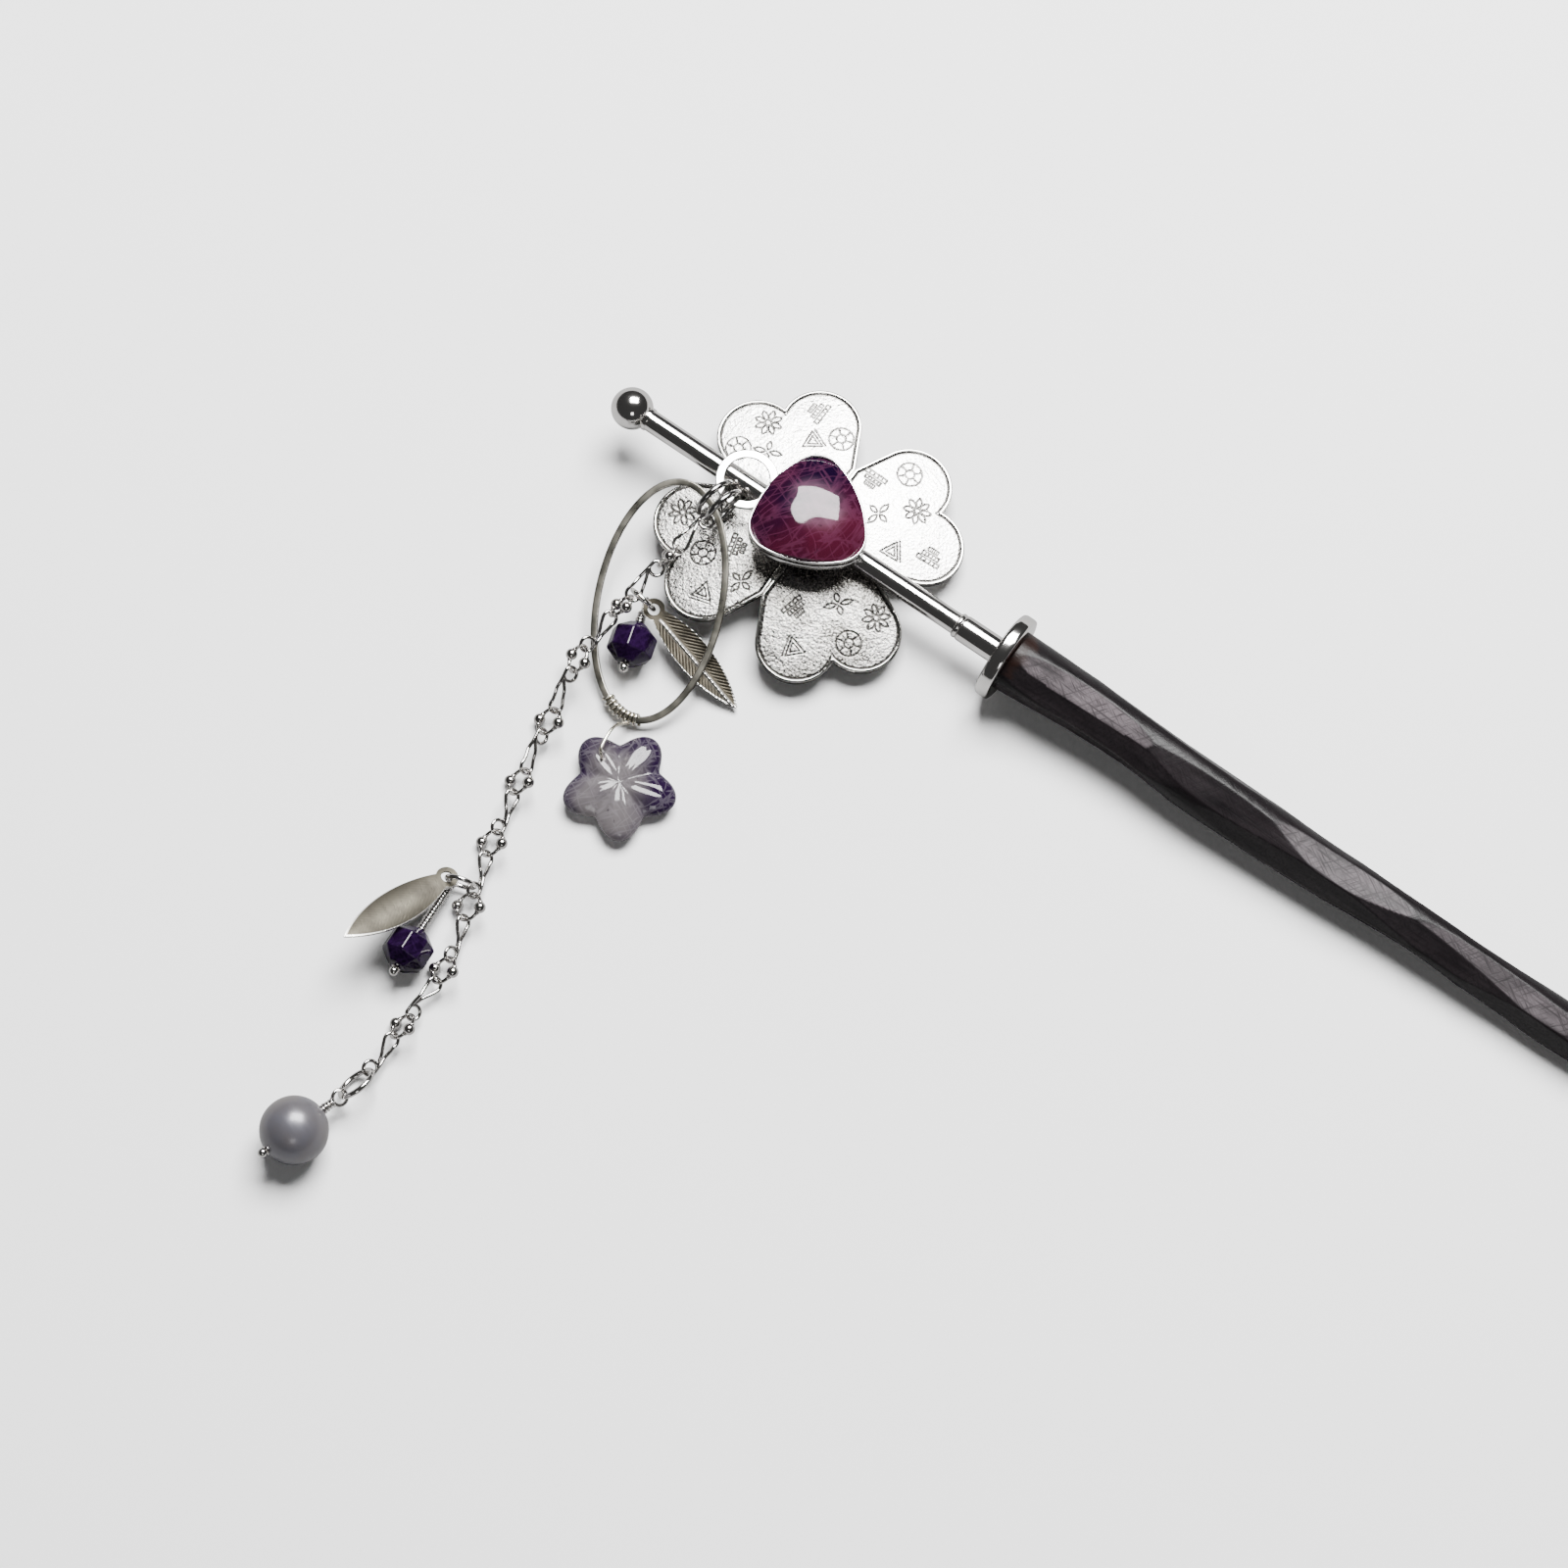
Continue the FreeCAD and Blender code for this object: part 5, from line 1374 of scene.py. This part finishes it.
def barrel_bead(middle, axis, normal, facets):
    """A faceted barrel: rings of the facets' corners at six heights."""
    side = np.cross(normal, axis)
    lie = np.array([side, normal, axis])
    heights = np.array([-BEAD_HALF, -2.62, -1.3, 1.3, 2.62, BEAD_HALF])
    widths = np.array([0.9, 1.3, 2.93, 2.93, 1.3, 0.9])
    turn = np.linspace(0, TAU, facets, endpoint=False)
    grid = np.stack([
        widths[:, None] * np.cos(turn)[None], widths[:, None] * np.sin(turn)[None],
        np.broadcast_to(heights[:, None], (6, facets)),
    ], -1)
    return placed(grid * MM, middle, lie)


def make_bead(bead, pin, body, name):
    sizes = bpy.context.scene.hair_pin_sizes
    middle, axis, reach, normal = pin_lie(bead, pin)
    grid = barrel_bead(middle, axis, normal, sizes.bead_facets)
    surface = skin(grid)
    tone = 0.5 + 0.5 * cell_noise(surface[0] / MM * 0.2, len(name), 2)
    piece = finish_mesh(
        name, surface, "purple_glass", body, bead, sharp=12, marks={"zone": tone}
    )
    soften(piece, 0.16 * MM)
    surface = headpin(middle, axis, reach, normal, BEAD_HALF * MM)
    finish_mesh(name + "_headpin", surface, "nickel", body, pin, sharp=60)


def soften(piece, width):
    """A small bevel on every facet's edge."""
    bevel = piece.modifiers.new("soft edges", "BEVEL")
    bevel.width = width
    bevel.segments = 3
    bevel.limit_method = "ANGLE"
    bevel.angle_limit = math.radians(12)
    bevel.harden_normals = True


def leaf_lie(leaf, ring):
    """A leaf's middle, and its axes: towards its tip, across it, and the side that it bulges to."""
    points = node_points(leaf).reshape(-1, 3)
    centre, axes = lie_of(leaf)
    held, _ = lie_of(ring)
    along = axes[0]
    run = (points - centre) @ along
    if np.linalg.norm(centre + along * run.max() - held) < np.linalg.norm(centre + along * run.min() - held):
        along, run = -along, -run
    normal = axes[2]
    across = np.cross(normal, along)
    v = (points - centre) @ across
    w = (points - centre) @ normal
    bend = np.polyfit(v, w, 2)[0]
    if bend > 0:
        normal, across = -normal, -across
        v, w = -v, -w
    near = np.abs(v) < 0.8 * MM
    crown = w[near].max()
    middle = centre + along * (run.max() + run.min()) / 2 + normal * crown
    return middle, np.array([along, across, normal]), (run.max() - run.min()) / 2


def make_leaf(leaf, ring, body, name, finish, vein_depth, fold, seed, wide):
    """A leaf of thin sheet: a pointed oval bent across its width.

    Its points go out from the hole in its root tab: rows run from the hole's rim to the leaf's outline by
    share of the way. The bend lowers each point by the square of its distance from the middle line. Side
    veins are cut slanting from the midrib, which is a raised fold.
    """
    middle, axes, half = leaf_lie(leaf, ring)
    half = half / MM
    hole = np.array([-half + 1.05 + 0.45, 0.0])
    count = 420
    body_half = 8.5
    # denser angles towards the tip, where the leaf seen from its hole is narrow
    dense = np.linspace(-1, 1, count, endpoint=False)
    theta = math.pi * (0.12 * dense + 0.88 * dense * np.abs(dense) ** 1.6)
    reach = leaf_reach(theta, hole, half, body_half, wide)
    around = np.stack([np.cos(theta), np.sin(theta)], 1)
    share = np.linspace(0, 1, 90) ** 0.85
    radius = 0.75 + share[:, None] * (reach[None] - 0.75)
    x = hole[0] + radius * around[None, :, 0]
    y = hole[1] + radius * around[None, :, 1]
    slant = x + np.abs(y) * -1.35
    period = 0.62
    lines = np.abs((slant / period + 0.5) % 1 - 0.5) * period
    blade = np.clip((x - hole[0] - 1.4) / 1.0, 0, 1)
    vein = np.exp(-((lines / 0.08) ** 2)) * blade * np.clip((np.abs(y) - 0.12) / 0.2, 0, 1)
    spot = np.stack([x, y, 0 * x], -1)
    vein = vein * np.clip(0.9 + 0.5 * cell_noise(spot * 0.3, seed, 3), 0, 1)
    rib = np.exp(-(((y - fold * 0.5) / 0.13) ** 2)) * blade * (fold != 0)
    side = np.clip((share[:, None] - 0.965) / 0.02, 0, 1) * np.ones_like(x)
    droop = -(y**2) / (2 * 6.5)
    rise = droop - vein_depth * vein + 0.1 * rib + 0.05 * cell_noise(spot * 0.12, seed + 1, 2) * blade
    upper_face = np.stack([x, y, rise - 0.04], -1)
    thick = 0.36
    lower_face = np.stack([x, y, droop - thick + vein_depth * vein - 0.1 * rib], -1)[::-1]
    grid = np.concatenate([upper_face, lower_face])
    surface = skin(placed(grid * MM, middle, axes), wrap_rows=True)
    bright = np.maximum(side * 0.8, rib * 0.9)
    marks = {"vein": np.concatenate([vein, vein[::-1]]), "bright": np.concatenate([bright, bright[::-1]])}
    finish_mesh(name, surface, finish, body, leaf, sharp=60, marks=marks)


def leaf_reach(theta, hole, half, body_half, wide):
    """Distance from the hole's middle to the leaf's outline, found by halving the gap 40 times."""
    low, high = np.zeros_like(theta), np.full_like(theta, 30.0)
    for _ in range(40):
        mid = (low + high) / 2
        x = hole[0] + mid * np.cos(theta)
        y = np.abs(mid * np.sin(theta))
        along = np.clip((x - (half - body_half)) / body_half, -1, 1)
        in_blade = (y < wide * (1 - along**2) ** 0.9) & (np.abs(x - (half - body_half)) < body_half)
        in_tab = mid < 1.4
        inside = in_blade | in_tab
        low = np.where(inside, mid, low)
        high = np.where(inside, high, mid)
    return low


def make_charm_ring(name, body, node):
    centre, axes = lie_of(node)
    surface = ring_of(centre, axes, 1.75 * MM, 0.3 * MM, 72, 16, wobble=0.008)
    finish_mesh(name, surface, "nickel", body, node)


def make_charms():
    """Both charms: ring, faceted bead on its headpin, and leaf."""
    make_charm_ring("upper_ring_wire", "upper_ring", "upper_charm_ring")
    make_charm_ring("lower_ring_wire", "lower_ring", "lower_charm_ring")
    make_bead("upper_bead", "upper_bead_pin", "upper_bead_drop", "upper_barrel")
    make_bead("lower_bead", "lower_bead_pin", "lower_bead_drop", "lower_barrel")
    make_leaf("upper_leaf", "upper_charm_ring", "upper_leaf_drop", "upper_blade",
              "antiqued_leaf", 0.06, 0.6, 3, 2.1)
    make_leaf("lower_leaf", "lower_charm_ring", "lower_leaf_drop", "lower_blade",
              "satin_leaf", 0.0, 0.0, 8, 2.3)


def make_pearl():
    """The pearl, slightly off round, with its ring and headpin."""
    middle, axis, reach, normal = pin_lie("pearl", "pearl_pin")
    angle = np.linspace(0.13, math.pi - 0.13, 60)
    profile = np.stack([-np.cos(angle), np.sin(angle)], 1) * 4.13 * MM
    spots, quads, tris = turned_solid(profile, middle, axis, 96)
    out = unit(spots - middle)
    spots = spots + out * (0.03 * MM * cell_noise(out * 0.9, 12, 2))[:, None]
    finish_mesh("pearl_skin", (spots, quads, tris), "grey_pearl", "pearl_drop", "pearl")
    surface = headpin(middle, axis, reach, normal, 4.1 * MM)
    finish_mesh("pearl_headpin", surface, "nickel", "pearl_drop", "pearl_pin", sharp=60)
    centre, axes = lie_of("pearl_ring")
    surface = ring_of(centre, axes, 2.3 * MM, 0.35 * MM, 84, 18, wobble=0.01)
    finish_mesh("pearl_ring_wire", surface, "nickel", "end_ring", "pearl_ring")


# --- the stage ------------------------------------------------------------------------------------

VIEW_POINT = np.array([-14.9, -27.4, -5.7]) * MM
VIEW_FROM = unit([0.1769, -0.2534, 0.951])
VIEW_RIGHT = unit([0.82, 0.5724, 0.0])


def aimed(place, right, out):
    """A matrix that stands at a place with its X to the right and its Z away from what it looks at."""
    matrix = Matrix.Identity(4)
    for column, axis in enumerate((right, np.cross(out, right), out)):
        for row in range(3):
            matrix[row][column] = axis[row]
    matrix.translation = Vector(place)
    return matrix


def lamp(name, towards, distance, width, power):
    """A soft square lamp that shines on the middle of the view from a direction."""
    towards = unit(towards)
    light = bpy.data.lights.new(name, "AREA")
    light.shape = "RECTANGLE"
    light.size, light.size_y = width
    light.energy = power
    thing = bpy.data.objects.new(name, light)
    right = unit(np.cross(towards, np.cross(VIEW_RIGHT, towards)))
    thing.matrix_world = aimed(VIEW_POINT + towards * distance, right, towards)
    bpy.context.scene.collection.objects.link(thing)


def make_stage():
    """A pale floor at the height the pin lies on, painted darker in glossy reflections, one large soft lamp
    overhead, a low fill and the camera.
    """
    stage = bpy.context.scene.hair_pin_stage
    floor_height = CAD_BOX[0][2] - 0.00002
    half = 1.5
    corners = [(-half, -half), (half, -half), (half, half), (-half, half)]
    mesh = bpy.data.meshes.new("floor")
    mesh.from_pydata([(x, y, floor_height) for x, y in corners], [], [(0, 1, 2, 3)])
    material, tree, shader = started("floor_card")
    # painted reflection: glossy surfaces see the floor at 0.3 of its colour, darker than the camera sees it
    mirrored = add(tree, "ShaderNodeLightPath").outputs["Is Glossy Ray"]
    seen = mixed(tree, mirrored, rgb(stage.floor_colour), rgb([c * 0.3 for c in stage.floor_colour]))
    lit(tree, shader, Base_Color=seen, Roughness=0.9, Specular_IOR_Level=0.1)
    mesh.materials.append(material)
    floor = bpy.data.objects.new("floor", mesh)
    bpy.context.scene.collection.objects.link(floor)
    up_in_view = np.array([-0.5724, 0.82, 0.0])
    lamp("soft_lamp", up_in_view * 0.53 + VIEW_RIGHT * 0.2 + [0, 0, 1], 0.7, (0.46, 0.36), stage.lamp_power)
    lamp("low_fill", up_in_view * -1.15 + [0, 0, 1], 0.8, (0.2, 0.2), stage.fill_power)
    world = bpy.context.scene.world or bpy.data.worlds.new("room")
    bpy.context.scene.world = world
    world.use_nodes = True
    world.node_tree.nodes["Background"].inputs["Color"].default_value = (1, 1, 1, 1)
    world.node_tree.nodes["Background"].inputs["Strength"].default_value = stage.surroundings
    camera = bpy.data.cameras.new("camera")
    camera.lens = stage.lens
    camera.sensor_width = 36.0
    camera.clip_start, camera.clip_end = 0.01, 10.0
    view = bpy.data.objects.new("camera", camera)
    view.matrix_world = aimed(VIEW_POINT + VIEW_FROM * stage.camera_distance, VIEW_RIGHT, VIEW_FROM)
    bpy.context.scene.collection.objects.link(view)
    bpy.context.scene.camera = view


# --- operators and panel --------------------------------------------------------------------------


class HAIRPIN_OT_finishes(bpy.types.Operator):
    """Make the materials"""

    bl_idname = "hairpin.finishes"
    bl_label = "Finishes"
    bl_options = {"REGISTER", "UNDO"}

    def execute(self, context):
        make_finishes()
        return {"FINISHED"}


class HAIRPIN_OT_stage(bpy.types.Operator):
    """Make the floor, lamps and camera"""

    bl_idname = "hairpin.stage"
    bl_label = "Stage"
    bl_options = {"REGISTER", "UNDO"}

    def execute(self, context):
        make_stage()
        return {"FINISHED"}


class HAIRPIN_OT_stick(bpy.types.Operator):
    """Carve the ebony stick"""

    bl_idname = "hairpin.stick"
    bl_label = "Stick"
    bl_options = {"REGISTER", "UNDO"}

    def execute(self, context):
        make_stick()
        return {"FINISHED"}


class HAIRPIN_OT_head(bpy.types.Operator):
    """Turn the flange, sleeve, rod and ball"""

    bl_idname = "hairpin.head"
    bl_label = "Head"
    bl_options = {"REGISTER", "UNDO"}

    def execute(self, context):
        make_head()
        return {"FINISHED"}


class HAIRPIN_OT_clover(bpy.types.Operator):
    """Stamp the four petals"""

    bl_idname = "hairpin.clover"
    bl_label = "Clover"
    bl_options = {"REGISTER", "UNDO"}

    def execute(self, context):
        make_clover()
        return {"FINISHED"}


class HAIRPIN_OT_stone(bpy.types.Operator):
    """Set the stone in its cup, beside the flat ring"""

    bl_idname = "hairpin.stone"
    bl_label = "Stone"
    bl_options = {"REGISTER", "UNDO"}

    def execute(self, context):
        make_stone()
        return {"FINISHED"}


class HAIRPIN_OT_jump_rings(bpy.types.Operator):
    """Bend the two jump rings"""

    bl_idname = "hairpin.jump_rings"
    bl_label = "Jump rings"
    bl_options = {"REGISTER", "UNDO"}

    def execute(self, context):
        make_jump_rings()
        return {"FINISHED"}


class HAIRPIN_OT_hoop(bpy.types.Operator):
    """Bend the oval hoop and wind its wire"""

    bl_idname = "hairpin.hoop"
    bl_label = "Hoop"
    bl_options = {"REGISTER", "UNDO"}

    def execute(self, context):
        make_hoop()
        make_wrap()
        return {"FINISHED"}


class HAIRPIN_OT_flower(bpy.types.Operator):
    """Mould the flower bead"""

    bl_idname = "hairpin.flower"
    bl_label = "Flower"
    bl_options = {"REGISTER", "UNDO"}

    def execute(self, context):
        make_flower()
        return {"FINISHED"}


class HAIRPIN_OT_chain(bpy.types.Operator):
    """Link the chain"""

    bl_idname = "hairpin.chain"
    bl_label = "Chain"
    bl_options = {"REGISTER", "UNDO"}

    def execute(self, context):
        make_chain()
        return {"FINISHED"}


class HAIRPIN_OT_charms(bpy.types.Operator):
    """Hang the beads and leaves"""

    bl_idname = "hairpin.charms"
    bl_label = "Charms"
    bl_options = {"REGISTER", "UNDO"}

    def execute(self, context):
        make_charms()
        return {"FINISHED"}


class HAIRPIN_OT_pearl(bpy.types.Operator):
    """Hang the pearl"""

    bl_idname = "hairpin.pearl"
    bl_label = "Pearl"
    bl_options = {"REGISTER", "UNDO"}

    def execute(self, context):
        make_pearl()
        return {"FINISHED"}


OPERATORS = (
    HAIRPIN_OT_finishes, HAIRPIN_OT_stage, HAIRPIN_OT_stick, HAIRPIN_OT_head,
    HAIRPIN_OT_clover, HAIRPIN_OT_stone, HAIRPIN_OT_jump_rings, HAIRPIN_OT_hoop,
    HAIRPIN_OT_flower, HAIRPIN_OT_chain, HAIRPIN_OT_charms, HAIRPIN_OT_pearl,
)


class HAIRPIN_PT_panel(bpy.types.Panel):
    """Lists the hair pin's pieces and its settings."""

    bl_label = "Hair Pin"
    bl_idname = "HAIRPIN_PT_panel"
    bl_space_type = "VIEW_3D"
    bl_region_type = "UI"
    bl_category = "Hair Pin"

    def draw(self, context):
        for kind in OPERATORS:
            self.layout.operator(kind.bl_idname)
        for group in (getattr(context.scene, name) for name in SETTINGS):
            box = self.layout.box()
            for name in group.__annotations__:
                box.prop(group, name)


SETTINGS = {
    "hair_pin_sizes": HairPinSizes, "hair_pin_colours": HairPinColours, "hair_pin_stage": HairPinStage,
}
CLASSES = (*SETTINGS.values(), *OPERATORS, HAIRPIN_PT_panel)


def register():
    for kind in CLASSES:
        bpy.utils.register_class(kind)
    for name, group in SETTINGS.items():
        setattr(bpy.types.Scene, name, PointerProperty(type=group))


def unregister():
    for name in SETTINGS:
        delattr(bpy.types.Scene, name)
    for kind in reversed(CLASSES):
        bpy.utils.unregister_class(kind)


def main():
    register()
    for kind in OPERATORS:
        getattr(bpy.ops.hairpin, kind.bl_idname.split(".")[1])()


if __name__ == "__main__":
    main()
